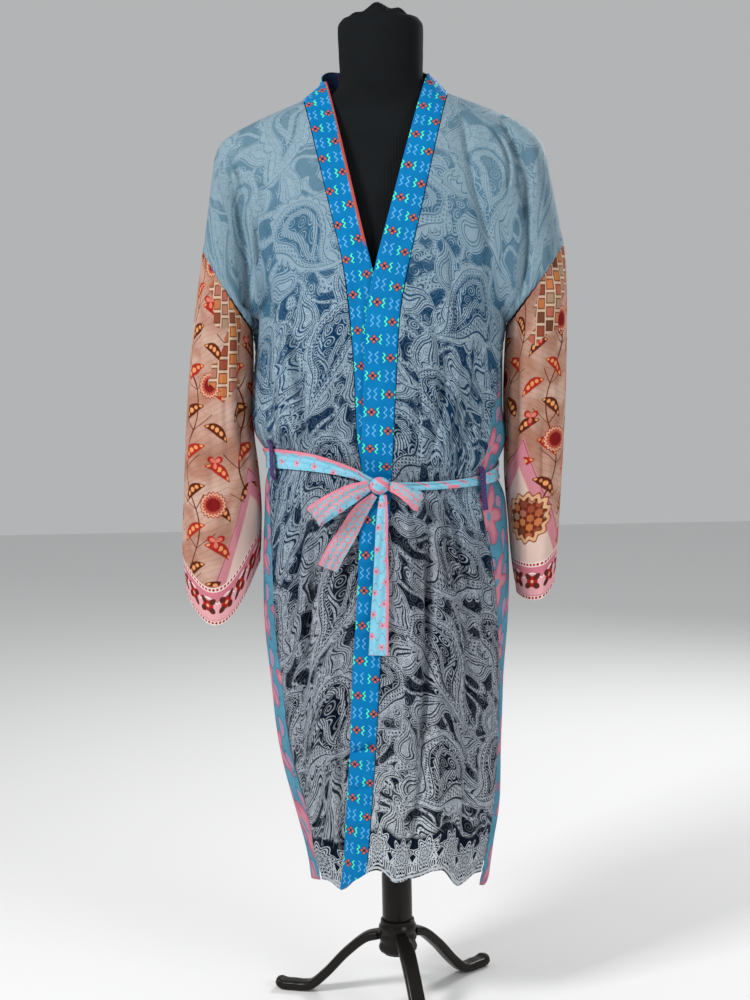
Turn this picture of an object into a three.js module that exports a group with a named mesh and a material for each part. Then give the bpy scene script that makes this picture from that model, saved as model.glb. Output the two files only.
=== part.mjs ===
// A kimono robe with a tied belt, worn by a limbless dress form on a tripod stand.
// Millimetres. +Z is up, the front faces -Y and the wearer's left is +X.
// The pole is the axis of the whole piece; everything is placed about it, at z = 0 on the floor.
import * as THREE from 'three';

// ---- Driving dimensions -------------------------------------------------------------------

const CLOTH = 2.0;            // wall of a single panel
const BAND_CLOTH = 2.6;       // wall of the folded front band and collar
const BELT_CLOTH = 2.2;       // wall of the belt, its bow and its loops
const BAND_PROUD = 0.6;       // how far the band's face stands above the panel's
const OVERLAP_DROP = 5.5;     // how far the under front lies inside the over front
const OVERLAP_START = 46;     // where it begins to, outside the over front's free edge
const OVERLAP_END = 10;       // and where it has got there
const BELT_CLEAR = 1.4;       // air between the robe and the belt
const CHEST_LEVEL = 1085;     // where the shoulder drape meets the body rings, at the band
const UNDERARM_LEVEL = 990;   // the same at the side seam, under the arm
const BACK_LEVEL = 1060;      // the same at the centre of the back
const ARMHOLE_DEPTH = 72;     // half the depth of the armhole, front to back
const SHOULDER_REACH = 76;    // how far the cloth runs level off the shoulder line
const COLLAR_REACH = 48;      // the same at the band's free edge
const NECK_REACH = 20;        // and at the middle of the back
const NECK_SHARE = 0.27;      // share of the half back's top edge that is neckline
const BELT_PINCH = 11;        // how far the belt draws the robe in
const BELT_REACH = 24;        // half the height of that pinch
const BLOUSE_DEPTH = 5;       // how far the robe hangs out over the belt
const BLOUSE_ABOVE = 48;      // height of that roll above the belt
const BLOUSE_REACH = 26;      // half its height
const LOOP_CLOTH = 1.6;       // the belt's two carriers
const LOOP_WIDTH = 11;
const LOOP_CLEAR = 6.4;       // the middle of a belt loop's cloth above the belt's face
const SLEEVE_START = 0.0012;  // where the sleeve begins, as a share of its length
const WAIST_REACH = 36;       // half the height of the strip of rings round the belt
const FIT_GAP = 0.3;          // between parts of the form and its stand
const POLE_RADIUS = 22;
const POLE_BOTTOM = 70;
const FORM_BOTTOM = 620;
const LEG_WIDTH = 24;
const LEG_THICKNESS = 14;
const LEG_ANGLES = [-76, 44, 164];

// Half widths to the wearer's right and left of the axis, depths in front and behind, and the angle of the side
// seams from the centre front, for rings of the robe from the underarm to the hem.
const BODY = [
  { z: 170, right: 124, left: 134, front: 117, back: 112, seamRight: 60, seamLeft: 58 },
  { z: 230, right: 131, left: 143, front: 118, back: 114, seamRight: 60, seamLeft: 63 },
  { z: 300, right: 148, left: 152, front: 120, back: 117, seamRight: 58, seamLeft: 69 },
  { z: 390, right: 168, left: 156, front: 123, back: 119, seamRight: 61, seamLeft: 73 },
  { z: 480, right: 177, left: 161, front: 127, back: 120, seamRight: 62, seamLeft: 71 },
  { z: 570, right: 184, left: 168, front: 130, back: 119, seamRight: 64, seamLeft: 63 },
  { z: 650, right: 183, left: 171, front: 132, back: 116, seamRight: 66, seamLeft: 57 },
  { z: 720, right: 180, left: 168, front: 134, back: 113, seamRight: 70, seamLeft: 51 },
  { z: 780, right: 180, left: 164, front: 136, back: 111, seamRight: 74, seamLeft: 51 },
  { z: 840, right: 188, left: 163, front: 140, back: 112, seamRight: 78, seamLeft: 60 },
  { z: 900, right: 192, left: 165, front: 141, back: 114, seamRight: 82, seamLeft: 72 },
  { z: 955, right: 187, left: 166, front: 139, back: 116, seamRight: 86, seamLeft: 84 },
  { z: 990, right: 190, left: 171, front: 137, back: 116, seamRight: 88, seamLeft: 88 },
  { z: 1060, right: 186, left: 172, front: 131, back: 113, seamRight: 88, seamLeft: 88 },
  { z: 1120, right: 182, left: 172, front: 123, back: 108, seamRight: 88, seamLeft: 88 },
];

// The front bands, seen from the front: x of the free edge and of the seam to the panel.
const OVER_BAND = [
  { z: 200, edge: -81, seam: -45 },
  { z: 285, edge: -73, seam: -36 },
  { z: 397, edge: -62, seam: -26 },
  { z: 508, edge: -56, seam: -18 },
  { z: 617, edge: -47, seam: -9 },
  { z: 720, edge: -41, seam: -1 },
  { z: 781, edge: -38, seam: 4 },
  { z: 890, edge: -33, seam: 11 },
  { z: 1008, edge: -26, seam: 20 },
  { z: 1085, edge: -9, seam: 36 },
];
const UNDER_BAND = [
  { z: 200, edge: 4, seam: -44 },
  { z: 780, edge: 8, seam: -40 },
  { z: 860, edge: 4, seam: -44 },
  { z: 940, edge: 1, seam: -46 },
  { z: 1040, edge: -12, seam: -53 },
  { z: 1085, edge: -22, seam: -59 },
];

// The shoulder line, from the collar seam over the shoulder and down the sleeve side to the
// top of the armhole seam. Distances from the axis.
const SHOULDER_RIGHT = [
  { x: 111, z: 1308 }, { x: 142, z: 1295.5 }, { x: 190, z: 1274.5 }, { x: 227, z: 1252 },
  { x: 238, z: 1231 }, { x: 242, z: 1208 }, { x: 248, z: 1165 }, { x: 257, z: 1100 },
];
const SHOULDER_LEFT = [
  { x: 94, z: 1314 }, { x: 142, z: 1295.5 }, { x: 190, z: 1274.5 }, { x: 221, z: 1250 },
  { x: 231, z: 1227 }, { x: 237, z: 1196 }, { x: 245, z: 1150 }, { x: 254, z: 1100 },
];
// The collar's free edge where it crosses the shoulder.
const COLLAR_RIGHT = { x: 79, y: 8, z: 1336 };
const COLLAR_LEFT = { x: 67, y: 5, z: 1344 };
// The back neckline from the centre to the shoulder, and the collar's top edge round the back.
const NECKLINE = [{ share: 0, x: 0, y: 74, z: 1300 }, { share: 0.5, x: 0.52, y: 63, z: 1303 },
  { share: 0.8, x: 0.86, y: 36, z: 1308 }];
const COLLAR_BACK_DEPTH = 74;
const COLLAR_BACK_RISE = 1357;
const COLLAR_FLARE = 19;      // how far it stands off the neck at the wearer's right

// Front hem heights across the robe, from the wearer's right to the left.
const FRONT_HEM = [
  { x: -125, z: 194 }, { x: -104, z: 202 }, { x: -82, z: 194 }, { x: -58, z: 214 },
  { x: -30, z: 231 }, { x: -4, z: 214 }, { x: 26, z: 219 }, { x: 58, z: 227 },
  { x: 90, z: 198 }, { x: 112, z: 209 }, { x: 140, z: 200 },
];
// Back hem heights by angle from the centre front.
const BACK_HEM = [
  { angle: -180, z: 200 }, { angle: -150, z: 193 }, { angle: -120, z: 201 },
  { angle: -90, z: 190 }, { angle: -50, z: 203 }, { angle: 40, z: 206 }, { angle: 70, z: 184 },
  { angle: 100, z: 196 }, { angle: 130, z: 190 }, { angle: 155, z: 199 }, { angle: 180, z: 200 },
];

// Sections of the sleeves: the outer and inner points of each loop (distances from the axis),
// its depth in front and behind, and how far its front and back hang below the line between.
const SLEEVE_RIGHT = [
  { v: 0, outX: 257, outZ: 1100, inX: 191.8, inZ: 987, front: 72, back: 72, dip: 0 },
  { v: 0.1, outX: 265, outZ: 1052, inX: 193, inZ: 955, front: 68, back: 70, dip: 0 },
  { v: 0.26, outX: 275, outZ: 985, inX: 197, inZ: 902, front: 62, back: 66, dip: 0 },
  { v: 0.44, outX: 284, outZ: 905, inX: 198.5, inZ: 842, front: 58, back: 62, dip: 0 },
  { v: 0.6, outX: 290, outZ: 830, inX: 190, inZ: 790, front: 55, back: 59, dip: 2 },
  { v: 0.76, outX: 295, outZ: 750, inX: 185.5, inZ: 735, front: 52, back: 56, dip: 6 },
  { v: 0.9, outX: 299, outZ: 676, inX: 187, inZ: 690, front: 48, back: 52, dip: 26 },
  { v: 1, outX: 294, outZ: 612, inX: 189.5, inZ: 655, front: 44, back: 48, dip: 62 },
];
const SLEEVE_LEFT = [
  { v: 0, outX: 254, outZ: 1100, inX: 173, inZ: 987, front: 72, back: 72, dip: 0 },
  { v: 0.1, outX: 257, outZ: 1052, inX: 171, inZ: 955, front: 68, back: 70, dip: 0 },
  { v: 0.26, outX: 257, outZ: 985, inX: 169.5, inZ: 902, front: 63, back: 66, dip: 0 },
  { v: 0.44, outX: 255, outZ: 905, inX: 171, inZ: 845, front: 58, back: 62, dip: 0 },
  { v: 0.6, outX: 251, outZ: 825, inX: 169.5, inZ: 785, front: 54, back: 58, dip: 0 },
  { v: 0.76, outX: 246, outZ: 750, inX: 172, inZ: 718, front: 50, back: 54, dip: 2 },
  { v: 0.9, outX: 241, outZ: 680, inX: 176, inZ: 652, front: 46, back: 50, dip: 5 },
  { v: 1, outX: 236, outZ: 622, inX: 183, inZ: 602, front: 43, back: 46, dip: 14 },
];

// The belt round the body: height of its middle and its own width, by angle from centre front.
const BELT = [
  { angle: -180, z: 792, width: 28 }, { angle: -110, z: 800, width: 28 },
  { angle: -62, z: 805, width: 27 }, { angle: -36, z: 801, width: 24 },
  { angle: -17, z: 788, width: 15 }, { angle: -5, z: 772, width: 11 },
  { angle: 12, z: 768, width: 11 }, { angle: 44, z: 770, width: 12 },
  { angle: 70, z: 776, width: 18 }, { angle: 110, z: 788, width: 28 },
  { angle: 180, z: 792, width: 28 },
];

// Creases of the fronts, seen from the front: the two ends, how far the line bows sideways,
// how deep the trough is (a ridge is negative) and its half width.
const FRONT_CREASES = [
  { x1: -214, z1: 1205, x2: -192, z2: 960, bow: 7, depth: 15, width: 15 },
  { x1: -176, z1: 1150, x2: -160, z2: 1000, bow: -5, depth: 6, width: 12 },
  { x1: -134, z1: 985, x2: -104, z2: 820, bow: -4, depth: 8, width: 13 },
  { x1: -150, z1: 930, x2: -140, z2: 832, bow: 5, depth: -6, width: 14 },
  { x1: -84, z1: 905, x2: -72, z2: 815, bow: 4, depth: 6, width: 10 },
  { x1: 166, z1: 1284, x2: 180, z2: 1010, bow: 26, depth: 12, width: 14 },
  { x1: 112, z1: 1280, x2: 149, z2: 1080, bow: -6, depth: 6, width: 11 },
  { x1: 84, z1: 960, x2: 52, z2: 800, bow: 6, depth: 6, width: 12 },
  { x1: 128, z1: 950, x2: 96, z2: 810, bow: 6, depth: 7, width: 12 },
  { x1: 46, z1: 745, x2: 14, z2: 215, bow: 17, depth: 11, width: 12 },
  { x1: 76, z1: 745, x2: 106, z2: 590, bow: -6, depth: 9, width: 12 },
  { x1: 20, z1: 740, x2: 24, z2: 470, bow: 5, depth: -6, width: 13 },
  { x1: 110, z1: 640, x2: 92, z2: 196, bow: 6, depth: 8, width: 15 },
  { x1: 62, z1: 560, x2: 58, z2: 205, bow: -5, depth: -7, width: 16 },
  { x1: -96, z1: 735, x2: -122, z2: 480, bow: -8, depth: 8, width: 12 },
  { x1: -66, z1: 730, x2: -88, z2: 330, bow: -6, depth: -5, width: 13 },
  { x1: -88, z1: 520, x2: -82, z2: 205, bow: 4, depth: 8, width: 12 },
  { x1: -132, z1: 740, x2: -146, z2: 560, bow: 4, depth: 7, width: 11 },
  { x1: -112, z1: 400, x2: -106, z2: 205, bow: -3, depth: -6, width: 12 },
];
// Creases of the back, seen from behind, in the same terms.
const BACK_CREASES = [
  { x1: -198, z1: 1195, x2: -184, z2: 985, bow: 7, depth: 13, width: 16 },
  { x1: 190, z1: 1215, x2: 170, z2: 985, bow: -8, depth: 13, width: 16 },
  { x1: -120, z1: 1160, x2: -70, z2: 830, bow: 6, depth: 7, width: 16 },
  { x1: 110, z1: 1150, x2: 62, z2: 835, bow: -5, depth: 7, width: 16 },
  { x1: -8, z1: 1120, x2: 6, z2: 830, bow: 4, depth: 6, width: 17 },
  { x1: -110, z1: 745, x2: -100, z2: 190, bow: -6, depth: 12, width: 17 },
  { x1: -48, z1: 748, x2: -58, z2: 190, bow: 5, depth: 11, width: 16 },
  { x1: 10, z1: 746, x2: 4, z2: 190, bow: -5, depth: 12, width: 17 },
  { x1: 64, z1: 748, x2: 58, z2: 190, bow: 6, depth: 11, width: 16 },
  { x1: 116, z1: 742, x2: 112, z2: 190, bow: -4, depth: 12, width: 17 },
];
const GATHERS = 22;            // soft gathers above and below the belt, all round
const GATHER_DEPTH = 3.2;
const GATHER_WIDTH = 5.5;      // degrees
const GATHER_REACH = 62;       // height over which a gather fades out

// Dents of the sleeves: place round the loop (0 at the outer point, 0.5 at the inner), place
// along the sleeve, depth, and half sizes round and along.
const SLEEVE_DENTS = [
  { u: 0.17, v: 0.1, depth: 6, wide: 0.05, long: 0.1 },
  { u: 0.3, v: 0.3, depth: 7, wide: 0.05, long: 0.2 },
  { u: 0.13, v: 0.52, depth: 6, wide: 0.045, long: 0.2 },
  { u: 0.36, v: 0.62, depth: 5, wide: 0.05, long: 0.15 },
  { u: 0.22, v: 0.85, depth: 6, wide: 0.05, long: 0.16 },
  { u: 0.64, v: 0.3, depth: 7, wide: 0.05, long: 0.2 },
  { u: 0.82, v: 0.2, depth: 6, wide: 0.05, long: 0.15 },
  { u: 0.75, v: 0.62, depth: 7, wide: 0.05, long: 0.25 },
  { u: 0.88, v: 0.85, depth: 5, wide: 0.05, long: 0.15 },
];

// Half width of the dress form, and its depth in front and behind, from base to neck rim.
const FORM = [
  { z: FORM_BOTTOM, wide: 150, front: 99, back: 95 }, { z: 634, wide: 157, front: 105, back: 100 },
  { z: 700, wide: 160, front: 107, back: 101 }, { z: 780, wide: 147, front: 99, back: 91 },
  { z: 850, wide: 130, front: 93, back: 85 }, { z: 900, wide: 124, front: 90, back: 83 },
  { z: 960, wide: 132, front: 97, back: 86 }, { z: 1045, wide: 152, front: 113, back: 92 },
  { z: 1100, wide: 160, front: 106, back: 91 }, { z: 1150, wide: 172, front: 92, back: 84 },
  { z: 1200, wide: 183, front: 76, back: 71 }, { z: 1232, wide: 187, front: 64, back: 61 },
  { z: 1258, wide: 186, front: 55, back: 53 }, { z: 1277, wide: 173, front: 47, back: 47 },
  { z: 1293, wide: 138, front: 42, back: 43 }, { z: 1304, wide: 102, front: 43, back: 44 },
  { z: 1314, wide: 74, front: 47, back: 49 }, { z: 1328, wide: 60.5, front: 54, back: 55 },
  { z: 1370, wide: 59.5, front: 59.5, back: 59.5 }, { z: 1408, wide: 60, front: 60, back: 60 },
  { z: 1417, wide: 56, front: 56, back: 56 },
];
const FORM_SIDES = 24;
const TALL_STEP = 75;          // a step of the form taller than this gets one more loop
// Lobes of the cover gathered into a knot on top of the neck.
const COVER_KNOT = [
  { x: -36, y: 4, radius: 13, rise: 10 }, { x: -4, y: -6, radius: 20, rise: 22 },
  { x: 27, y: 5, radius: 14, rise: 15 },
];

// ---- Small mathematics --------------------------------------------------------------------

const ARC_HANDLE = 4 / 3;      // handle length of a Bezier arc, as a share of its depth
const point = (x, y, z) => new THREE.Vector3(x, y, z);
const mix = (a, b, t) => a + (b - a) * t;
const clamp = (value, low, high) => Math.min(high, Math.max(low, value));
const radians = (degrees) => degrees * Math.PI / 180;
const bell = (distance) => Math.exp(-distance * distance);

function ease(start, end, value) {
  const t = clamp((value - start) / (end - start), 0, 1);
  return t * t * (3 - 2 * t);
}

// A smooth curve through one column of a table, read by another column that rises.
function column(rows, key, name) {
  const slope = (i) => {
    const low = rows[Math.max(0, i - 1)];
    const high = rows[Math.min(rows.length - 1, i + 1)];
    return (high[name] - low[name]) / (high[key] - low[key]);
  };
  return (value) => {
    const at = clamp(value, rows[0][key], rows[rows.length - 1][key]);
    let i = 0;
    while (i < rows.length - 2 && at > rows[i + 1][key]) i += 1;
    const step = rows[i + 1][key] - rows[i][key];
    const t = (at - rows[i][key]) / step;
    const a = rows[i][name];
    const b = rows[i + 1][name];
    const rise = (3 - 2 * t) * t * t;
    const start = slope(i) * step * t * (1 - t) * (1 - t);
    const end = slope(i + 1) * step * t * t * (1 - t);
    return a + (b - a) * rise + start - end;
  };
}

const columns = (rows, key, names) => (
  Object.fromEntries(names.map((name) => [name, column(rows, key, name)])));

function bezier(a, b, c, d, t) {
  const s = 1 - t;
  return point(0, 0, 0)
    .addScaledVector(a, s * s * s)
    .addScaledVector(b, 3 * s * s * t)
    .addScaledVector(c, 3 * s * t * t)
    .addScaledVector(d, t * t * t);
}

// The outward normal of a surface given by two parameters from 0 to 1.
function normalOf(place, u, v) {
  const step = 0.004;
  const along = place(Math.min(1, u + step), v).sub(place(Math.max(0, u - step), v));
  const down = place(u, Math.min(1, v + step)).sub(place(u, Math.max(0, v - step)));
  return down.cross(along).normalize();
}

// The trough of one crease at a point of the front or back view.
function troughAt(crease, x, z) {
  const dx = crease.x2 - crease.x1;
  const dz = crease.z2 - crease.z1;
  const length = Math.hypot(dx, dz);
  const along = ((x - crease.x1) * dx + (z - crease.z1) * dz) / (length * length);
  const bow = crease.bow * 4 * along * (1 - along);
  const aside = ((x - crease.x1) * -dz + (z - crease.z1) * dx) / length - bow;
  const ends = ease(-0.08, 0.2, along) * ease(1.08, 0.8, along);
  return -crease.depth * bell(aside / crease.width) * ends;
}

// ---- The robe's surface -------------------------------------------------------------------

const body = columns(BODY, 'z', ['right', 'left', 'front', 'back', 'seamRight', 'seamLeft']);
const overBand = columns(OVER_BAND, 'z', ['edge', 'seam']);
const underBand = columns(UNDER_BAND, 'z', ['edge', 'seam']);
const belt = columns(BELT, 'angle', ['z', 'width']);
const frontHem = column(FRONT_HEM, 'x', 'z');
const backHem = column(BACK_HEM, 'angle', 'z');

const HEM_LEVEL = 210;
const WAIST_LEVEL = 790;
const LEAN_STEP = 20;

const halfWidth = (x, z) => (x < 0 ? body.right(z) : body.left(z));
const sideSeam = (side, z) => (side < 0 ? -body.seamRight(z) : body.seamLeft(z));
const angleAt = (x, z) => Math.asin(clamp(x / halfWidth(x, z), -1, 1)) * 180 / Math.PI;

// A plain ring of the robe: the angle is 0 at the centre front and grows to the wearer's left.
function ring(angle, z) {
  const turn = radians(angle);
  const depth = Math.cos(turn) > 0 ? body.front(z) : body.back(z);
  return point(halfWidth(Math.sin(turn), z) * Math.sin(turn), -depth * Math.cos(turn), z);
}

// Belt pinch and the gathers above and below it.
function gathered(angle, z) {
  const away = z - belt.z(clamp(angle, -180, 180));
  const pinch = -BELT_PINCH * bell(away / BELT_REACH);
  const bloused = BLOUSE_DEPTH * bell((away - BLOUSE_ABOVE) / BLOUSE_REACH);
  let sum = 0;
  for (let i = 0; i < GATHERS; i += 1) {
    const middle = -180 + (i + 0.5) * 360 / GATHERS + 5 * Math.sin(i * 2.4);
    const depth = GATHER_DEPTH * (0.7 + 0.4 * Math.sin(i * 4.1));
    sum -= depth * bell((angle - middle) / GATHER_WIDTH);
  }
  const fade = bell(away / GATHER_REACH) * ease(4, 26, Math.abs(away));
  return pinch + bloused + sum * fade;
}

// The height at t: 1 at the top level, 2 and 3 at the two sides of the belt, 4 at the hem.
function heightBelow(level, waist, hem, t) {
  if (t < 2) return mix(level, waist + WAIST_REACH, t - 1);
  if (t < 3) return mix(waist + WAIST_REACH, waist - WAIST_REACH, t - 2);
  return mix(waist - WAIST_REACH, hem, t - 3);
}

const creased = (creases, x, z) => (
  creases.reduce((sum, crease) => sum + troughAt(crease, x, z), 0));

const shoulderLines = {
  '-1': new THREE.CatmullRomCurve3(SHOULDER_RIGHT.map((p) => point(-p.x, 0, p.z))),
  1: new THREE.CatmullRomCurve3(SHOULDER_LEFT.map((p) => point(p.x, 0, p.z))),
};
const collarTop = { '-1': COLLAR_RIGHT, 1: COLLAR_LEFT };
const shoulderPoint = (side, share) => shoulderLines[side].getPointAt(clamp(share, 0, 1));

// One front: s runs from -1 at the free edge over 0 at the band seam to 1 at the armhole and
// side seam, and t from 0 at the shoulder over 1 at the chest level to 4 at the hem.
function frontShape(side, s, t) {
  const bandLine = side < 0 ? underBand : overBand;
  const level = mix(CHEST_LEVEL, UNDERARM_LEVEL, ease(0, 1, s));
  const angleOn = (z) => (
    s <= 0 ? angleAt(mix(bandLine.seam(z), bandLine.edge(z), -s), z)
      : mix(angleAt(bandLine.seam(z), z), sideSeam(side, z), s));
  if (t >= 1) {
    const hem = frontHem(ring(angleOn(HEM_LEVEL), HEM_LEVEL).x);
    const z = heightBelow(level, belt.z(angleOn(WAIST_LEVEL)), hem, t);
    return ring(angleOn(z), z);
  }
  const edge = collarTop[side];
  const seamTop = shoulderPoint(side, 0);
  const top = s <= 0 ? seamTop.clone().lerp(point(side * edge.x, edge.y, edge.z), -s)
    : shoulderPoint(side, s);
  const foot = ring(angleOn(level), level);
  const arm = ease(0.45, 1, s);
  const reach = s <= 0 ? mix(SHOULDER_REACH, COLLAR_REACH, -s)
    : mix(SHOULDER_REACH, ARMHOLE_DEPTH * ARC_HANDLE, s);
  const high = point(mix(top.x, foot.x, 0.08 * (1 - arm)), top.y - reach, top.z);
  const low = foot.clone().lerp(top, 0.33 * (1 - arm));
  const lean = (ring(angleOn(level), level + LEAN_STEP).y - foot.y) / LEAN_STEP;
  low.y = foot.y + lean * (low.z - foot.z) - ARMHOLE_DEPTH * ARC_HANDLE * arm;
  return bezier(top, high, low, foot, t);
}

// How far the front's cloth moves out of that shape.
function frontRelief(side, s, t) {
  const base = frontShape(side, s, t);
  const angle = angleAt(base.x, base.z);
  const shoulder = ease(0, 0.22, t);
  const armhole = 1 - ease(0.84, 1, s);
  const creases = creased(FRONT_CREASES, base.x, base.z) * shoulder * armhole;
  const waist = t > 1 ? gathered(angle, base.z) : 0;
  const lead = overBand.edge(base.z);
  const covered = ease(lead - OVERLAP_START, lead - OVERLAP_END, base.x) * ease(0.8, 1, t);
  const under = side < 0 ? -OVERLAP_DROP * covered : 0;
  const proud = s < 0 ? BAND_PROUD : 0;
  return creases + waist + under + proud;
}

// One half of the back: s runs from 0 at the centre to 1 at the armhole and side seam.
function backShape(side, s, t) {
  const level = mix(BACK_LEVEL, UNDERARM_LEVEL, ease(0, 1, s));
  const angleOn = (z) => mix(180 * side, sideSeam(side, z), s);
  if (t >= 1) {
    const waist = belt.z(angleOn(WAIST_LEVEL));
    const z = heightBelow(level, waist, backHem(angleOn(HEM_LEVEL)), t);
    return ring(angleOn(z), z);
  }
  const foot = ring(angleOn(level), level);
  const arm = ease(0.5, 1, s);
  const onNeck = s < NECK_SHARE;
  const top = onNeck ? neckPoint(side, s / NECK_SHARE)
    : shoulderPoint(side, (s - NECK_SHARE) / (1 - NECK_SHARE));
  const reach = onNeck ? mix(NECK_REACH, SHOULDER_REACH, (s / NECK_SHARE) ** 3)
    : mix(SHOULDER_REACH, ARMHOLE_DEPTH * ARC_HANDLE, s);
  const high = point(mix(top.x, foot.x, 0.08 * (1 - arm)), top.y + reach, top.z);
  const low = foot.clone().lerp(top, 0.33 * (1 - arm));
  const lean = (ring(angleOn(level), level + LEAN_STEP).y - foot.y) / LEAN_STEP;
  low.y = foot.y + lean * (low.z - foot.z) + ARMHOLE_DEPTH * ARC_HANDLE * arm;
  return bezier(top, high, low, foot, t);
}

// The back neckline, from the centre (0) to the shoulder seam (1).
function neckPoint(side, share) {
  const seam = shoulderPoint(side, 0);
  const rows = [...NECKLINE.map((p) => ({ ...p, x: p.x * Math.abs(seam.x) })),
    { share: 1, x: Math.abs(seam.x), y: 0, z: seam.z }];
  const line = columns(rows, 'share', ['x', 'y', 'z']);
  return point(side * line.x(share), line.y(share), line.z(share));
}

function backRelief(side, s, t) {
  const base = backShape(side, s, t);
  const angle = mix(180 * side, sideSeam(side, base.z), s);
  const creases = creased(BACK_CREASES, base.x, base.z) * ease(0, 0.25, t) * (1 - ease(0.84, 1, s));
  return creases + (t > 1 ? gathered(angle, base.z) : 0);
}

// Moves a surface out by its relief, along its own normals.
function raised(shape, relief) {
  return (u, v) => shape(u, v).addScaledVector(normalOf(shape, u, v), relief(u, v));
}

// ---- Solids -------------------------------------------------------------------------------

function solid(name, material, positions, faces) {
  const geometry = new THREE.BufferGeometry();
  geometry.setAttribute('position', new THREE.Float32BufferAttribute(positions, 3));
  geometry.setIndex(faces);
  geometry.computeVertexNormals();
  const mesh = new THREE.Mesh(geometry, material);
  mesh.name = name;
  return mesh;
}

// A wall of cloth: the outer face is the surface, the inner face lies inside it by the
// cloth's thickness, and a rim joins the two. A looped wall closes on itself along u.
function clothWall(name, material, place, size) {
  const { across, down, cloth, looped = false } = size;
  const perRow = looped ? across : across + 1;
  const positions = [];
  for (let layer = 0; layer < 2; layer += 1) {
    for (let j = 0; j <= down; j += 1) {
      for (let i = 0; i < perRow; i += 1) {
        const u = i / across;
        const v = j / down;
        const spot = place(u, v);
        if (layer) spot.addScaledVector(normalOf(place, u, v), -cloth);
        positions.push(spot.x, spot.y, spot.z);
      }
    }
  }
  const inner = perRow * (down + 1);
  const index = (i, j, layer) => layer * inner + j * perRow + (i % perRow);
  const faces = [];
  const quad = (...corners) => {
    const [a, b, c, d] = corners.map(([i, j, layer]) => index(i, j, layer));
    faces.push(a, b, c, a, c, d);
  };
  for (let j = 0; j < down; j += 1) {
    for (let i = 0; i < across; i += 1) {
      quad([i, j, 0], [i, j + 1, 0], [i + 1, j + 1, 0], [i + 1, j, 0]);
      quad([i, j, 1], [i + 1, j, 1], [i + 1, j + 1, 1], [i, j + 1, 1]);
    }
    if (!looped) {
      quad([0, j, 0], [0, j, 1], [0, j + 1, 1], [0, j + 1, 0]);
      quad([across, j, 0], [across, j + 1, 0], [across, j + 1, 1], [across, j, 1]);
    }
  }
  for (let i = 0; i < across; i += 1) {
    quad([i, 0, 0], [i + 1, 0, 0], [i + 1, 0, 1], [i, 0, 1]);
    quad([i, down, 0], [i, down, 1], [i + 1, down, 1], [i + 1, down, 0]);
  }
  return solid(name, material, positions, faces);
}

// A closed body lofted through loops of points, with both ends capped.
function loft(name, material, loops) {
  const sides = loops[0].length;
  const positions = [];
  loops.forEach((loop) => loop.forEach((p) => positions.push(p.x, p.y, p.z)));
  const faces = [];
  for (let j = 0; j < loops.length - 1; j += 1) {
    for (let i = 0; i < sides; i += 1) {
      const next = (i + 1) % sides;
      const a = j * sides + i;
      const b = j * sides + next;
      faces.push(a, b, b + sides, a, b + sides, a + sides);
    }
  }
  const last = (loops.length - 1) * sides;
  for (let i = 1; i < sides - 1; i += 1) {
    faces.push(0, i + 1, i);
    faces.push(last, last + i, last + i + 1);
  }
  return solid(name, material, positions, faces);
}

// A strap of even thickness along a smooth path. Each row of the path has its middle, its
// width, and the direction in which it is wide.
function strap(name, material, rows, thickness, steps) {
  const path = new THREE.CatmullRomCurve3(rows.map((row) => row.at));
  const keyed = rows.map((row, i) => ({ t: i / (rows.length - 1), width: row.width,
    x: row.wide.x, y: row.wide.y, z: row.wide.z }));
  const line = columns(keyed, 't', ['width', 'x', 'y', 'z']);
  const loops = [];
  for (let j = 0; j <= steps; j += 1) {
    const t = j / steps;
    const middle = path.getPoint(t);
    const along = path.getTangent(t);
    const wide = point(line.x(t), line.y(t), line.z(t));
    wide.addScaledVector(along, -wide.dot(along)).normalize().multiplyScalar(line.width(t) / 2);
    const thick = along.clone().cross(wide).normalize().multiplyScalar(thickness / 2);
    loops.push([[1, 1], [-1, 1], [-1, -1], [1, -1]].map(([a, b]) => (
      middle.clone().addScaledVector(wide, a).addScaledVector(thick, b))));
  }
  return loft(name, material, loops);
}

// ---- Pieces of the robe -------------------------------------------------------------------

const material = (color, roughness, metalness = 0) => (
  new THREE.MeshStandardMaterial({ color, roughness, metalness }));
const paisley = material(0x5d7688, 0.9);
const batik = material(0x5c9fb0, 0.9);
const peach = material(0xb98a78, 0.9);
const bandBlue = material(0x1f88bf, 0.85);
const beltPrint = material(0xd08a90, 0.85);
const loopPurple = material(0x4a3868, 0.85);
const jersey = material(0x181b1e, 0.95);
const stainedBlack = material(0x1e1c18, 0.35);

const SEAM_SHARE = 0.003;      // the seam gap as a share of a panel's width
const CENTRE_SHARE = 0.0012;   // the same for each half of the back at its centre seam
const FRONT_ROWS = [10, 5, 6, 12];   // rows of a front: shoulder, chest, waist, skirt
const BACK_ROWS = [10, 5, 6, 12];

const total = (rows) => rows.reduce((sum, count) => sum + count, 0);

// The surface's t at a share v of all the rows.
function rowAt(rows, v) {
  let left = v * total(rows);
  let zone = 0;
  while (zone < rows.length - 1 && left > rows[zone]) {
    left -= rows[zone];
    zone += 1;
  }
  return Math.max(0.0015, zone + left / rows[zone]);
}

const halves = [{ side: -1, name: 'right' }, { side: 1, name: 'left' }];

// A front panel from the band seam to the side seam; u runs to the wearer's left.
function frontPanel({ side, name }) {
  const across = (u) => (side < 0 ? 1 - u : u);
  const s = (u) => mix(SEAM_SHARE, 1 - SEAM_SHARE, across(u));
  const t = (v) => rowAt(FRONT_ROWS, v);
  const place = raised((u, v) => frontShape(side, s(u), t(v)),
    (u, v) => frontRelief(side, s(u), t(v)));
  return clothWall(`front_${name}`, paisley, place,
    { across: 15, down: total(FRONT_ROWS), cloth: CLOTH });
}

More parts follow.
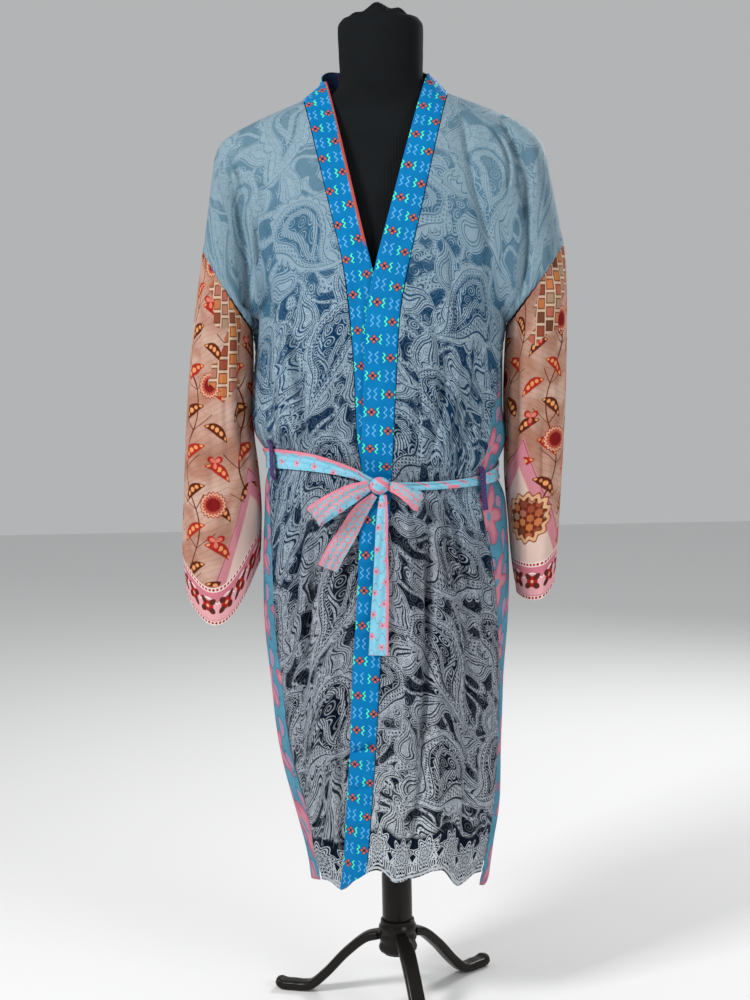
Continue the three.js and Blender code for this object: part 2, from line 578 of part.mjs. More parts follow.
// The band along a front's free edge, from the collar to the hem.
function frontBand({ side, name }) {
  const across = (u) => (side < 0 ? u : 1 - u);
  const s = (u) => -mix(0.012, 1, across(u));
  const t = (v) => rowAt(FRONT_ROWS, v);
  const place = raised((u, v) => frontShape(side, s(u), t(v)),
    (u, v) => frontRelief(side, s(u), t(v)));
  return clothWall(`band_${name}`, bandBlue, place,
    { across: 3, down: total(FRONT_ROWS), cloth: BAND_CLOTH });
}

// Half of the back, from the centre seam to the side seam. u runs to the wearer's right.
function backPanel({ side, name }) {
  const s = (u) => mix(CENTRE_SHARE, 1 - SEAM_SHARE, side < 0 ? u : 1 - u);
  const t = (v) => rowAt(BACK_ROWS, v);
  const place = raised((u, v) => backShape(side, s(u), t(v)),
    (u, v) => backRelief(side, s(u), t(v)));
  return clothWall(`back_${name}`, batik, place,
    { across: 14, down: total(BACK_ROWS), cloth: CLOTH });
}

// A sleeve: each loop is two arcs between its outer and inner points, front and back.
function sleeve({ side, name }) {
  const rows = side < 0 ? SLEEVE_RIGHT : SLEEVE_LEFT;
  const line = columns(rows, 'v', ['outX', 'outZ', 'inX', 'inZ', 'front', 'back', 'dip']);
  const shape = (u, v) => {
    const along = mix(SLEEVE_START, 1, v);
    const round = side < 0 ? 1 - (u % 1) : u % 1;
    const isFront = round < 0.5;
    const t = isFront ? round * 2 : 2 - round * 2;
    const depth = (isFront ? -line.front(along) : line.back(along)) * ARC_HANDLE;
    const outer = point(side * line.outX(along), 0, line.outZ(along));
    const inner = point(side * line.inX(along), -4 * (1 - ease(0, 0.1, along)), line.inZ(along));
    const bulge = point(0, depth, 0);
    const spot = bezier(outer, outer.clone().add(bulge), inner.clone().add(bulge), inner, t);
    spot.z -= line.dip(along) * Math.sin(Math.PI * t) ** 2 * (isFront ? 1 : 0.5);
    return spot;
  };
  const relief = (u, v) => {
    const round = side < 0 ? 1 - (u % 1) : u % 1;
    return SLEEVE_DENTS.reduce((sum, dent) => (
      sum - dent.depth * bell((round - dent.u) / dent.wide) * bell((v - dent.v) / dent.long)
    ), 0) * ease(0, 0.08, v);
  };
  return clothWall(`sleeve_${name}`, peach, raised(shape, relief),
    { across: 20, down: 14, cloth: CLOTH, looped: true });
}

const COLLAR_END = 0.985;      // share of the neckline that the collar covers
const COLLAR_FALL = 0.97;      // share of the way down to the neckline
const COLLAR_SEAM = { back: 0.3, up: 1.2, band: 0.9 };   // its seam gaps

// The collar: the band where it stands up round the back of the neck.
function collar() {
  const shape = (u, v) => {
    const share = Math.abs(1 - 2 * u);
    const side = u < 0.5 ? 1 : -1;
    const seam = neckPoint(side, COLLAR_END * share);
    seam.y += COLLAR_SEAM.back;
    seam.z += COLLAR_SEAM.up;
    const end = side > 0 ? COLLAR_LEFT : COLLAR_RIGHT;
    const turn = share * Math.PI / 2;
    const flare = side < 0 ? COLLAR_FLARE * Math.sin(2 * turn) : 0;
    const top = point(side * (end.x * Math.sin(turn) + flare),
      mix(end.y + COLLAR_SEAM.band, COLLAR_BACK_DEPTH, Math.cos(turn)),
      mix(COLLAR_BACK_RISE, end.z, ease(0.45, 1, share)));
    return top.lerp(seam, COLLAR_FALL * v);
  };
  return clothWall('collar', bandBlue, shape, { across: 16, down: 3, cloth: BAND_CLOTH });
}

// ---- Belt, bow and loops ------------------------------------------------------------------

const SKIN_PATCH = 8;          // degrees and millimetres over which the skin's normal is taken

// The robe's outer skin at an angle and height below the arms.
function skin(angle, z) {
  const shape = (u, v) => ring(angle + (u - 0.5) * SKIN_PATCH, z - (v - 0.5) * SKIN_PATCH);
  const creases = Math.cos(radians(angle)) > 0 ? FRONT_CREASES : BACK_CREASES;
  const spot = ring(angle, z);
  const relief = gathered(angle, z) + creased(creases, spot.x, z);
  const out = normalOf(shape, 0.5, 0.5);
  return { spot: spot.addScaledVector(out, relief), out };
}

const BELT_LIFT = BAND_PROUD + BELT_CLEAR + BELT_CLOTH;

function beltRing() {
  const place = (u, v) => {
    const angle = -180 + 360 * (u % 1);
    const { spot, out } = skin(angle, belt.z(angle) + (0.5 - v) * belt.width(angle));
    return spot.addScaledVector(out.setZ(0).normalize(), BELT_LIFT);
  };
  return clothWall('belt', beltPrint, place,
    { across: 56, down: 2, cloth: BELT_CLOTH, looped: true });
}

const KNOT_SEAT = 0.2;
const KNOT = { x: -13, z: 771, wide: 14, deep: 10, high: 12 };
const beltFace = skin(angleAt(KNOT.x, KNOT.z), KNOT.z).spot.y - BELT_LIFT;
const knotY = beltFace - KNOT.deep - KNOT_SEAT;

function knot() {
  const loops = [];
  const rows = 8;
  for (let j = 1; j < rows; j += 1) {
    const up = -Math.PI / 2 + Math.PI * j / rows;
    const loop = [];
    for (let i = 0; i < 12; i += 1) {
      const turn = 2 * Math.PI * i / 12;
      const lump = 1 + 0.08 * Math.sin(3 * turn + 2 * up);
      loop.push(point(KNOT.x + KNOT.wide * Math.cos(up) * Math.cos(turn) * lump,
        knotY + KNOT.deep * Math.cos(up) * Math.sin(turn), KNOT.z + KNOT.high * Math.sin(up)));
    }
    loops.push(loop);
  }
  return loft('knot', beltPrint, loops);
}

// A point in front of the belt's face by a distance.
const before = (x, out, z) => point(x, beltFace - out, z);
// A point in front of the skirt by a distance.
const onSkirt = (x, z, out) => point(x, skin(angleAt(x, z), z).spot.y - out, z);
const BOW_CLOTH = 2.0;

function bow() {
  const loopRight = [
    { at: before(-27.8, 12, 771), width: 15, wide: point(-0.35, 0, 1) },
    { at: before(-52, 22, 765), width: 19, wide: point(-0.5, 0, 1) },
    { at: before(-80, 27, 750), width: 24, wide: point(-0.6, 0.1, 1) },
    { at: before(-102, 21, 733), width: 28, wide: point(-0.7, 0, 1) },
    { at: before(-100, 9, 730), width: 27, wide: point(-0.7, 0, 1) },
    { at: before(-74, 5.5, 743), width: 22, wide: point(-0.6, 0, 1) },
    { at: before(-48, 5, 757), width: 17, wide: point(-0.5, 0, 1) },
    { at: before(-29.5, 5.5, 767), width: 12, wide: point(-0.35, 0, 1) },
  ];
  const loopLeft = [
    { at: before(1.4, 12, 770.5), width: 13, wide: point(0.4, 0, 1) },
    { at: before(16, 19, 764), width: 17, wide: point(0.5, -0.2, 1) },
    { at: before(30, 23, 754), width: 20, wide: point(0.5, -0.4, 1) },
    { at: before(40, 18, 746), width: 22, wide: point(0.3, -0.6, 1) },
    { at: before(41, 9, 750), width: 22, wide: point(0.3, -0.5, 1) },
    { at: before(26, 5.5, 760), width: 18, wide: point(0.4, -0.1, 1) },
    { at: before(12, 5.5, 766), width: 14, wide: point(0.4, 0, 1) },
    { at: before(3, 6.5, 768), width: 11, wide: point(0.4, 0, 1) },
  ];
  const tailRight = [
    { at: before(-20, 9, 758.4), width: 9, wide: point(1, 0, 0.4) },
    { at: onSkirt(-40, 736, 6), width: 21, wide: point(1, 0, 0.35) },
    { at: onSkirt(-58, 706, 6), width: 26, wide: point(1, 0, 0.3) },
    { at: onSkirt(-75, 680, 8), width: 28, wide: point(1, 0, 0.2) },
    { at: onSkirt(-86, 658, 9), width: 28, wide: point(1, 0, 0.1) },
  ];
  const tailLeft = [
    { at: before(-8, 11, 759), width: 9, wide: point(1, 0, 0) },
    { at: onSkirt(-10, 730, 9), width: 15, wide: point(1, 0.1, 0) },
    { at: onSkirt(-12, 690, 8), width: 18, wide: point(1, 0.15, 0) },
    { at: onSkirt(-14, 630, 7), width: 22, wide: point(1, 0.1, 0) },
    { at: onSkirt(-17, 580, 7), width: 25, wide: point(1, 0, 0) },
    { at: onSkirt(-19, 538, 7), width: 27, wide: point(1, 0, 0) },
  ];
  return [
    strap('bow_loop_right', beltPrint, loopRight, BOW_CLOTH, 26),
    strap('bow_loop_left', beltPrint, loopLeft, BOW_CLOTH, 24),
    strap('bow_tail_right', beltPrint, tailRight, BOW_CLOTH, 10),
    strap('bow_tail_left', beltPrint, tailLeft, BOW_CLOTH, 16),
  ];
}

// The carriers at the two sides: their place, their two ends, and how far the middle of the
// cloth lies off the robe at those ends.
const BELT_LOOPS = [
  { name: 'belt_loop_right', angle: -64, top: 832, bottom: 776, seat: 2 },
  { name: 'belt_loop_left', angle: 53, top: 790, bottom: 730, seat: 1.4 },
];

// A carrier standing over the belt.
function beltLoop({ name, angle, top, bottom, seat }) {
  const wide = point(Math.cos(radians(angle)), Math.sin(radians(angle)), 0);
  const out = skin(angle, belt.z(angle)).out.setZ(0).normalize();
  const face = skin(angle, belt.z(angle)).spot.addScaledVector(out, BELT_LIFT + LOOP_CLEAR);
  const rows = [0, 0.12, 0.3, 0.5, 0.7, 0.88, 1].map((share) => {
    const { spot } = skin(angle, mix(top, bottom, share));
    const behindFace = face.clone().sub(spot).dot(out);
    const lift = share % 1 ? Math.max(seat, behindFace) : seat;
    return { at: spot.addScaledVector(out, lift), width: LOOP_WIDTH, wide };
  });
  return strap(name, loopPurple, rows, LOOP_CLOTH, 12);
}

// ---- Dress form and stand -----------------------------------------------------------------

function formBody() {
  const line = columns(FORM, 'z', ['wide', 'front', 'back']);
  const heights = FORM.flatMap(({ z }, i) => {
    const next = i + 1 < FORM.length ? FORM[i + 1].z : z;
    return next - z > TALL_STEP ? [z, (z + next) / 2] : [z];
  });
  const loops = heights.map((z) => Array.from({ length: FORM_SIDES }, (_, i) => {
    const turn = 2 * Math.PI * i / FORM_SIDES;
    const depth = Math.sin(turn) < 0 ? line.front(z) : line.back(z);
    return point(line.wide(z) * Math.cos(turn), depth * Math.sin(turn), z);
  }));
  return loft('form_body', jersey, loops);
}

function coverKnot() {
  const rim = FORM[FORM.length - 1];
  const rows = 5;
  const sides = 18;
  const inset = 8;             // how far its foot stays inside the neck's rim
  const narrowing = 0.82;
  const flatness = 0.6;
  const crown = 2;
  const loops = [];
  for (let j = 0; j <= rows; j += 1) {
    const share = j / rows;
    loops.push(Array.from({ length: sides }, (_, i) => {
      const turn = 2 * Math.PI * i / sides;
      const radius = (rim.wide - inset) * (1 - share * narrowing);
      const x = radius * Math.cos(turn);
      const y = radius * Math.sin(turn) * flatness;
      const rise = COVER_KNOT.reduce((sum, lobe) => (
        sum + lobe.rise * bell(Math.hypot(x - lobe.x, y - lobe.y) / lobe.radius)), 0);
      return point(x, y, rim.z + FIT_GAP + crown * share + (j ? rise : 0));
    }));
  }
  return loft('form_cover_knot', jersey, loops);
}

function pole() {
  const top = FORM_BOTTOM - FIT_GAP;
  const geometry = new THREE.CylinderGeometry(POLE_RADIUS, POLE_RADIUS, top - POLE_BOTTOM, 24);
  geometry.rotateX(Math.PI / 2);
  const mesh = new THREE.Mesh(geometry, stainedBlack);
  mesh.name = 'stand_pole';
  mesh.position.z = (top + POLE_BOTTOM) / 2;
  return mesh;
}

// The collar that clamps the legs to the pole, with turned rings.
function hub() {
  const inner = POLE_RADIUS + FIT_GAP;
  const profile = [
    [inner, 74], [27, 74], [28.5, 80], [26, 86], [26, 91], [28, 95], [26, 99], [26, 105],
    [28, 109], [25.5, 114], [25, 122], [inner, 122],
  ].map(([x, z]) => new THREE.Vector2(x, z));
  profile.push(profile[0].clone());
  const geometry = new THREE.LatheGeometry(profile, 24);
  geometry.rotateX(Math.PI / 2);
  const mesh = new THREE.Mesh(geometry, stainedBlack);
  mesh.name = 'stand_hub';
  return mesh;
}

// Cuts a foot off flat at the floor.
function flatUnder(mesh) {
  const { position } = mesh.geometry.attributes;
  for (let i = 0; i < position.count; i += 1) position.setZ(i, Math.max(0, position.getZ(i)));
  return mesh;
}

function leg(angle, index) {
  const turn = radians(angle);
  const out = point(Math.cos(turn), Math.sin(turn), 0);
  const wide = point(-Math.sin(turn), Math.cos(turn), 0);
  const foot = LEG_THICKNESS / 2;
  const rows = [
    { reach: 29, z: 96 }, { reach: 48, z: 90 }, { reach: 80, z: 64 }, { reach: 112, z: 30 },
    { reach: 136, z: foot + 3 }, { reach: 150, z: foot }, { reach: 164, z: foot },
    { reach: 178, z: foot }, { reach: 190, z: foot + 5 },
  ].map(({ reach, z }) => (
    { at: out.clone().multiplyScalar(reach).setZ(z), width: LEG_WIDTH, wide }));
  return flatUnder(strap(`stand_leg_${index + 1}`, stainedBlack, rows, LEG_THICKNESS, 24));
}

// ---- The whole piece ----------------------------------------------------------------------

const pieces = new THREE.Group();
halves.forEach((half) => {
  pieces.add(frontPanel(half), frontBand(half), sleeve(half), backPanel(half));
});
pieces.add(collar(), beltRing(), knot(), ...bow());
pieces.add(...BELT_LOOPS.map(beltLoop));
pieces.add(formBody(), coverKnot(), pole(), hub(), ...LEG_ANGLES.map(leg));

// The origin is the middle of the whole piece's footprint, on the floor.
const box = new THREE.Box3().setFromObject(pieces);
pieces.position.set(-(box.min.x + box.max.x) / 2, -(box.min.y + box.max.y) / 2, 0);

const robeOnStand = new THREE.Group();
robeOnStand.add(pieces);

export default robeOnStand;
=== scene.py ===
"""A kimono robe with a tied belt, on a dress form and its stand.

Run as a script, it dresses the loaded solids with cloth, print, jersey and lacquer.
The tables are in millimetres about the stand's pole: +Z up, the front faces -Y and the
wearer's left is +X.
"""
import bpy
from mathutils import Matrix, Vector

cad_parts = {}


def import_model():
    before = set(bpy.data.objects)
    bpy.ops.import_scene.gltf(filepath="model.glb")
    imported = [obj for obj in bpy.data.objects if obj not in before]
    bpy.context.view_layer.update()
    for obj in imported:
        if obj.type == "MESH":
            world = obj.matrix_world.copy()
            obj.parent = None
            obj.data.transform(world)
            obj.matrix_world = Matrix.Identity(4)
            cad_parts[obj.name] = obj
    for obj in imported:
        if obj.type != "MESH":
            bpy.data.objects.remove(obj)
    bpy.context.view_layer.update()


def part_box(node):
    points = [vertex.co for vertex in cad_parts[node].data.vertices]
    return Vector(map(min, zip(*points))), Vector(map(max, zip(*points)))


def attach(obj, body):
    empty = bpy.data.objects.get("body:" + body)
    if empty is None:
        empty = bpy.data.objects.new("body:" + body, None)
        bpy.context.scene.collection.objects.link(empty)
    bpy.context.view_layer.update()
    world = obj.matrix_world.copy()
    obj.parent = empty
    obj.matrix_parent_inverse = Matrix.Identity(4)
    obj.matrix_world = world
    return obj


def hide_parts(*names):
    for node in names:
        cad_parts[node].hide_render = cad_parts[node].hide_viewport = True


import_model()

from types import SimpleNamespace

import bpy
import numpy as np
from mathutils import Quaternion, Vector

bl_info = {
    "name": "Kimono robe on a dress form",
    "version": (1, 0, 0),
    "blender": (4, 5, 0),
    "location": "3D View > Sidebar > Robe",
    "description": "Builds the robe, its belt and bow, the dress form, the stand and a studio",
    "category": "Object",
}

# ---- Sizes in millimetres ---------------------------------------------------------------

MM = 0.001
SILK = 0.9                # wall of a single panel
FOLDED_SILK = 1.8         # wall of the folded band and collar
BELT_SILK = 1.6
BAND_PROUD = 0.6
OVERLAP_DROP = 5.5
OVERLAP_START, OVERLAP_END = 46, 10
BELT_LIFT = 4.2           # the belt's face above the robe's
CHEST_LEVEL, UNDERARM_LEVEL, BACK_LEVEL = 1085, 990, 1060
ARMHOLE_DEPTH = 72
SHOULDER_REACH, COLLAR_REACH, NECK_REACH = 76, 48, 20
NECK_SHARE = 0.27
BELT_PINCH, BELT_REACH = 11, 24
BLOUSE_DEPTH, BLOUSE_ABOVE, BLOUSE_REACH = 5, 48, 26
WAIST_REACH = 36
HEM_LEVEL, WAIST_LEVEL, LEAN_STEP = 210, 790, 20
GATHERS, GATHER_DEPTH, GATHER_WIDTH, GATHER_REACH = 22, 3.2, 5.5, 62
ARC_HANDLE = 4 / 3
SEAM_SHARE, CENTRE_SHARE = 0.003, 0.0012
SEAM_TUCK, SEAM_UNDER = 2, 2   # how far a sleeve's rim reaches under the body's edge
# How deep the back's folds may go beside the form's lower end, elsewhere, and between
DEEPEST_FOLD, FREE_FOLD = -8.5, -40
FORM_FOOT, FORM_TOP = (625, 590), (735, 765)
BAND_ROLL = 3.4           # what shows of the coral lining along the band's free edge
COLLAR_SPREAD = 0.985     # share of the back neckline that the collar covers
HEM_ROLL = 3.6            # what shows of the coral side along a bow's ribbon
BOW_SILK = 1.3
KNOT_SEAT = 0.2
BELT_ROLL, ROLL_END = 4.2, -14        # the belt's coral edge, on the right of the bow
TWIST_SHARE, TWIST = 0.62, (30, 38)   # where the belt's coral side shows on the left
BAND_MIDDLE = 19          # where the band's middle line lies in its print
BAND_START, SLEEVE_START = 0.012, 0.0012
EDGE_ROUNDING, ROUNDING_REACH = 0.9, 1.6
COLLAR_RIM = (0, 0.3, 1.2)            # from the neckline to the collar's lower edge

# Where each print starts on its piece, so that no two pieces show the same part of it
SLEEVE_TOP, LEFT_SLEEVE_SHIFT = 1100, 400
LEFT_FRONT_SHIFT, BACK_SHIFT = 730, 500

# Columns and rows of each grid
PANEL_GRID, BAND_GRID, COLLAR_GRID = (108, 260), (24, 240), (72, 16)
SLEEVE_GRID, BELT_GRID = (132, 132), (360, 16)
ZONES = (10, 5, 6, 12)    # shares of a panel's rows: yoke, chest, waist, skirt

SIDES = ((-1, "right"), (1, "left"))
SHARP_EDGE = 52           # degrees

POLE_LOW, POLE_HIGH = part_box("stand_pole")
AXIS = np.array([(POLE_LOW.x + POLE_HIGH.x) / 2, (POLE_LOW.y + POLE_HIGH.y) / 2, 0]) / MM


# ---- Small mathematics ------------------------------------------------------------------

def mix(a, b, t):
    return a + (b - a) * t


def ease(start, end, value):
    t = np.clip((value - start) / (end - start), 0, 1)
    return t * t * (3 - 2 * t)


def bell(distance):
    return np.exp(-distance * distance)


def points(x, y, z):
    return np.stack(np.broadcast_arrays(x, y, z), axis=-1).astype(float)


def unit(vectors):
    return vectors / np.maximum(np.linalg.norm(vectors, axis=-1, keepdims=True), 1e-9)


def table(names, *rows):
    """Rows with named columns; each column reads smoothly by the first one."""
    values = np.array(rows, float)
    key = values[:, 0]

    def column(data):
        last = len(key) - 1
        low = np.maximum(np.arange(last + 1) - 1, 0)
        high = np.minimum(np.arange(last + 1) + 1, last)
        slopes = (data[high] - data[low]) / (key[high] - key[low])

        def read(at):
            at = np.clip(np.asarray(at, float), key[0], key[-1])
            i = np.clip(np.searchsorted(key, at, side="left") - 1, 0, last - 1)
            span = key[i + 1] - key[i]
            t = (at - key[i]) / span
            a, b = data[i], data[i + 1]
            bend = slopes[i] * span * t * (1 - t) ** 2 - slopes[i + 1] * span * t * t * (1 - t)
            return a + (b - a) * (3 - 2 * t) * t * t + bend

        return read

    columns = {name: column(values[:, i]) for i, name in enumerate(names.split())}
    return SimpleNamespace(rows=values, **columns)


def spline(through, t):
    """A smooth path through points; t runs from 0 to 1 over all of them."""
    path = np.asarray(through, float)
    path = np.vstack([2 * path[0] - path[1], path, 2 * path[-1] - path[-2]])
    place = np.asarray(t, float) * (len(path) - 3)
    i = np.clip(np.floor(place).astype(int), 0, len(path) - 4)
    w = (place - i)[..., None]
    p0, p1, p2, p3 = (path[i + k] for k in range(4))
    d0, d1, d2 = (np.sqrt(np.linalg.norm(b - a, axis=-1, keepdims=True))
                  for a, b in ((p0, p1), (p1, p2), (p2, p3)))
    t1 = ((p1 - p0) / d0 - (p2 - p0) / (d0 + d1) + (p2 - p1) / d1) * d1
    t2 = ((p2 - p1) / d1 - (p3 - p1) / (d1 + d2) + (p3 - p2) / d2) * d1
    c2 = -3 * p1 + 3 * p2 - 2 * t1 - t2
    c3 = 2 * p1 - 2 * p2 + t1 + t2
    return p1 + (t1 + (c2 + c3 * w) * w) * w


def bezier(a, b, c, d, t):
    t = np.asarray(t, float)[..., None]
    s = 1 - t
    return a * s ** 3 + 3 * b * s * s * t + 3 * c * s * t * t + d * t ** 3


# ---- The robe's sizes -------------------------------------------------------------------

BODY = table(
    "z right left front back seam_right seam_left",
    (170, 124, 134, 117, 112, 60, 58), (230, 131, 143, 118, 114, 60, 63),
    (300, 148, 152, 120, 117, 58, 69), (390, 168, 156, 123, 119, 61, 73),
    (480, 177, 161, 127, 120, 62, 71), (570, 184, 168, 130, 119, 64, 63),
    (650, 183, 171, 132, 116, 66, 57), (720, 180, 168, 134, 113, 70, 51),
    (780, 180, 164, 136, 111, 74, 51), (840, 188, 163, 140, 112, 78, 60),
    (900, 192, 165, 141, 114, 82, 72), (955, 187, 166, 139, 116, 86, 84),
    (990, 190, 171, 137, 116, 88, 88), (1060, 186, 172, 131, 113, 88, 88),
    (1120, 182, 172, 123, 108, 88, 88))
OVER_BAND = table(
    "z edge seam",
    (200, -81, -45), (285, -73, -36), (397, -62, -26), (508, -56, -18), (617, -47, -9),
    (720, -41, -1), (781, -38, 4), (890, -33, 11), (1008, -26, 20), (1085, -9, 36))
UNDER_BAND = table(
    "z edge seam",
    (200, 4, -44), (780, 8, -40), (860, 4, -44), (940, 1, -46), (1040, -12, -53),
    (1085, -22, -59))
SHOULDER_RIGHT = ((111, 1308), (142, 1295.5), (190, 1274.5), (227, 1252), (238, 1231),
                  (242, 1208), (248, 1165), (257, 1100))
SHOULDER_LEFT = ((94, 1314), (142, 1295.5), (190, 1274.5), (221, 1250), (231, 1227),
                 (237, 1196), (245, 1150), (254, 1100))
COLLAR_RIGHT = SimpleNamespace(x=79, y=8, z=1336)
COLLAR_LEFT = SimpleNamespace(x=67, y=5, z=1344)
NECKLINE = ((0, 0, 74, 1300), (0.5, 0.52, 63, 1303), (0.8, 0.86, 36, 1308))
COLLAR_BACK_DEPTH, COLLAR_BACK_RISE, COLLAR_FLARE = 74, 1357, 19
FRONT_HEM = table(
    "x z",
    (-125, 194), (-104, 202), (-82, 194), (-58, 214), (-30, 231), (-4, 214), (26, 219),
    (58, 227), (90, 198), (112, 209), (140, 200))
BACK_HEM = table(
    "angle z",
    (-180, 200), (-150, 193), (-120, 201), (-90, 190), (-50, 203), (40, 206), (70, 184),
    (100, 196), (130, 190), (155, 199), (180, 200))
SLEEVE_COLUMNS = "v out_x out_z in_x in_z front back dip"
SLEEVE_RIGHT = table(
    SLEEVE_COLUMNS,
    (0, 257, 1100, 191.8, 987, 72, 72, 0), (0.1, 265, 1052, 191, 955, 68, 70, 0),
    (0.26, 275, 985, 193, 902, 62, 66, 0), (0.44, 284, 905, 193.5, 842, 58, 62, 0),
    (0.6, 290, 830, 188, 790, 55, 59, 2), (0.76, 295, 750, 185.5, 735, 52, 56, 6),
    (0.9, 299, 676, 187, 690, 48, 52, 26), (1, 294, 612, 189.5, 655, 44, 48, 62))
SLEEVE_LEFT = table(
    SLEEVE_COLUMNS,
    (0, 254, 1100, 173, 987, 72, 72, 0), (0.1, 257, 1052, 169.5, 955, 68, 70, 0),
    (0.26, 257, 985, 167, 902, 63, 66, 0), (0.44, 255, 905, 167, 845, 58, 62, 0),
    (0.6, 251, 825, 166.5, 785, 54, 58, 0), (0.76, 246, 750, 172, 718, 50, 54, 2),
    (0.9, 241, 680, 176, 652, 46, 50, 5), (1, 236, 622, 183, 602, 43, 46, 14))
BELT = table(
    "angle z width",
    (-180, 792, 28), (-110, 800, 28), (-62, 805, 27), (-36, 801, 24), (-17, 788, 15),
    (-5, 772, 11), (12, 768, 11), (44, 770, 12), (70, 776, 18), (110, 788, 28),
    (180, 792, 28))

# Creases by x and z of both ends, sideways bow, depth of the trough and half its width.
FRONT_CREASES = (
    (-214, 1205, -192, 960, 7, 15, 15), (-176, 1150, -160, 1000, -5, 6, 12),
    (-134, 985, -104, 820, -4, 8, 13), (-150, 930, -140, 832, 5, -6, 14),
    (-84, 905, -72, 815, 4, 6, 10), (166, 1284, 180, 1010, 26, 12, 14),
    (112, 1280, 149, 1080, -6, 6, 11), (84, 960, 52, 800, 6, 6, 12),
    (128, 950, 96, 810, 6, 7, 12), (46, 745, 14, 215, 17, 11, 12),
    (76, 745, 106, 590, -6, 9, 12), (20, 740, 24, 470, 5, -6, 13),
    (110, 640, 92, 196, 6, 8, 15), (62, 560, 58, 205, -5, -7, 16),
    (-96, 735, -122, 480, -8, 8, 12), (-66, 730, -88, 330, -6, -5, 13),
    (-88, 520, -82, 205, 4, 8, 12), (-132, 740, -146, 560, 4, 7, 11),
    (-112, 400, -106, 205, -3, -6, 12))
BACK_CREASES = (
    (-198, 1195, -184, 985, 7, 13, 16), (190, 1215, 170, 985, -8, 13, 16),
    (-120, 1160, -70, 830, 6, 7, 16), (110, 1150, 62, 835, -5, 7, 16),
    (-8, 1120, 6, 830, 4, 6, 17), (-110, 745, -100, 190, -6, 12, 17),
    (-48, 748, -58, 190, 5, 11, 16), (10, 746, 4, 190, -5, 12, 17),
    (64, 748, 58, 190, 6, 11, 16), (116, 742, 112, 190, -4, 12, 17))
# The finer creases, in the same columns; FINE_DEPTH multiplies their depth.
FINE_DEPTH = 3.4
FINE_FRONT_CREASES = (
    (-205, 1215, -178, 1060, 10, 2.4, 5), (-160, 1205, -150, 1080, -8, 1.4, 7),
    (-120, 1150, -96, 1020, 8, 1.3, 8), (-78, 1010, -60, 905, 6, 1.8, 6),
    (-96, 960, -66, 850, 9, 2, 5), (-70, 930, -50, 868, 4, 1.6, 4),
    (-112, 880, -84, 826, -4, 2.2, 5), (-140, 890, -118, 828, 5, 2, 5),
    (-60, 880, -48, 826, 3, 1.8, 4), (-166, 940, -152, 850, -5, 1.8, 6),
    (150, 1262, 168, 1170, 12, 2.6, 4), (196, 1240, 188, 1120, 10, 2, 6),
    (120, 1180, 140, 1040, 8, 1.4, 7), (92, 1100, 110, 960, -7, 1.3, 8),
    (60, 1010, 74, 860, 6, 1.6, 6), (104, 930, 78, 812, 7, 2.4, 5),
    (140, 900, 118, 806, 5, 2.2, 5), (46, 900, 40, 800, -4, 1.8, 5),
    (30, 740, 34, 610, 3, 2, 5), (58, 742, 82, 640, -5, 2.2, 5),
    (92, 738, 118, 610, -6, 2.2, 6), (124, 700, 128, 520, 5, 2, 6),
    (44, 560, 30, 380, 8, 2, 6), (80, 520, 74, 300, -8, 1.8, 7),
    (120, 480, 116, 240, 6, 1.8, 7), (22, 400, 4, 240, 6, 1.6, 6),
    (-60, 735, -70, 600, 5, 2.2, 5), (-84, 730, -104, 600, -6, 2.4, 5),
    (-112, 728, -140, 610, -5, 2.2, 5), (-74, 560, -96, 380, 7, 1.8, 6),
    (-120, 520, -128, 330, -6, 1.8, 7), (-100, 330, -96, 214, 4, 1.8, 6),
    (53, 790, 50, 560, 3, 3.6, 4.5), (78, 790, 112, 620, -4, 3.4, 4.5),
    (-104, 670, -132, 450, -4, 3, 5), (-136, 990, -108, 812, -4, 3.2, 5),
    (-206, 1225, -190, 960, 8, 4, 5.5), (-26, 410, -68, 400, 4, 3.2, 6),
    (-30, 352, -70, 346, 2, 1.6, 5), (-34, 292, -74, 286, -2, 1.5, 5),
    (-18, 690, -52, 676, 3, 1.6, 5), (-20, 640, -56, 628, 2, 1.4, 4),
    (-24, 585, -58, 570, -3, 1.6, 5), (-6, 920, -30, 900, 2, 1.2, 5))
FINE_BACK_CREASES = (
    (-150, 1190, -120, 1040, 8, 2, 7), (150, 1200, 116, 1050, -8, 2, 7),
    (-60, 1100, -48, 930, 6, 1.6, 8), (54, 1110, 40, 940, -6, 1.6, 8),
    (-100, 930, -86, 830, 5, 2.2, 5), (-38, 920, -30, 828, 4, 2, 5),
    (26, 925, 22, 828, -4, 2, 5), (84, 930, 70, 830, -5, 2.2, 5),
    (130, 920, 118, 832, 4, 2, 6), (-84, 742, -80, 560, 5, 2.2, 6),
    (-28, 744, -24, 520, -5, 2, 6), (36, 744, 34, 540, 5, 2, 6),
    (90, 742, 88, 560, -5, 2.2, 6), (-130, 600, -126, 300, 6, 1.8, 8),
    (-76, 480, -74, 230, -6, 1.8, 8), (-20, 470, -26, 220, 6, 1.8, 8),
    (34, 480, 32, 230, -6, 1.8, 8), (88, 470, 84, 220, 6, 1.8, 8),
    (136, 560, 128, 260, -5, 1.8, 8))
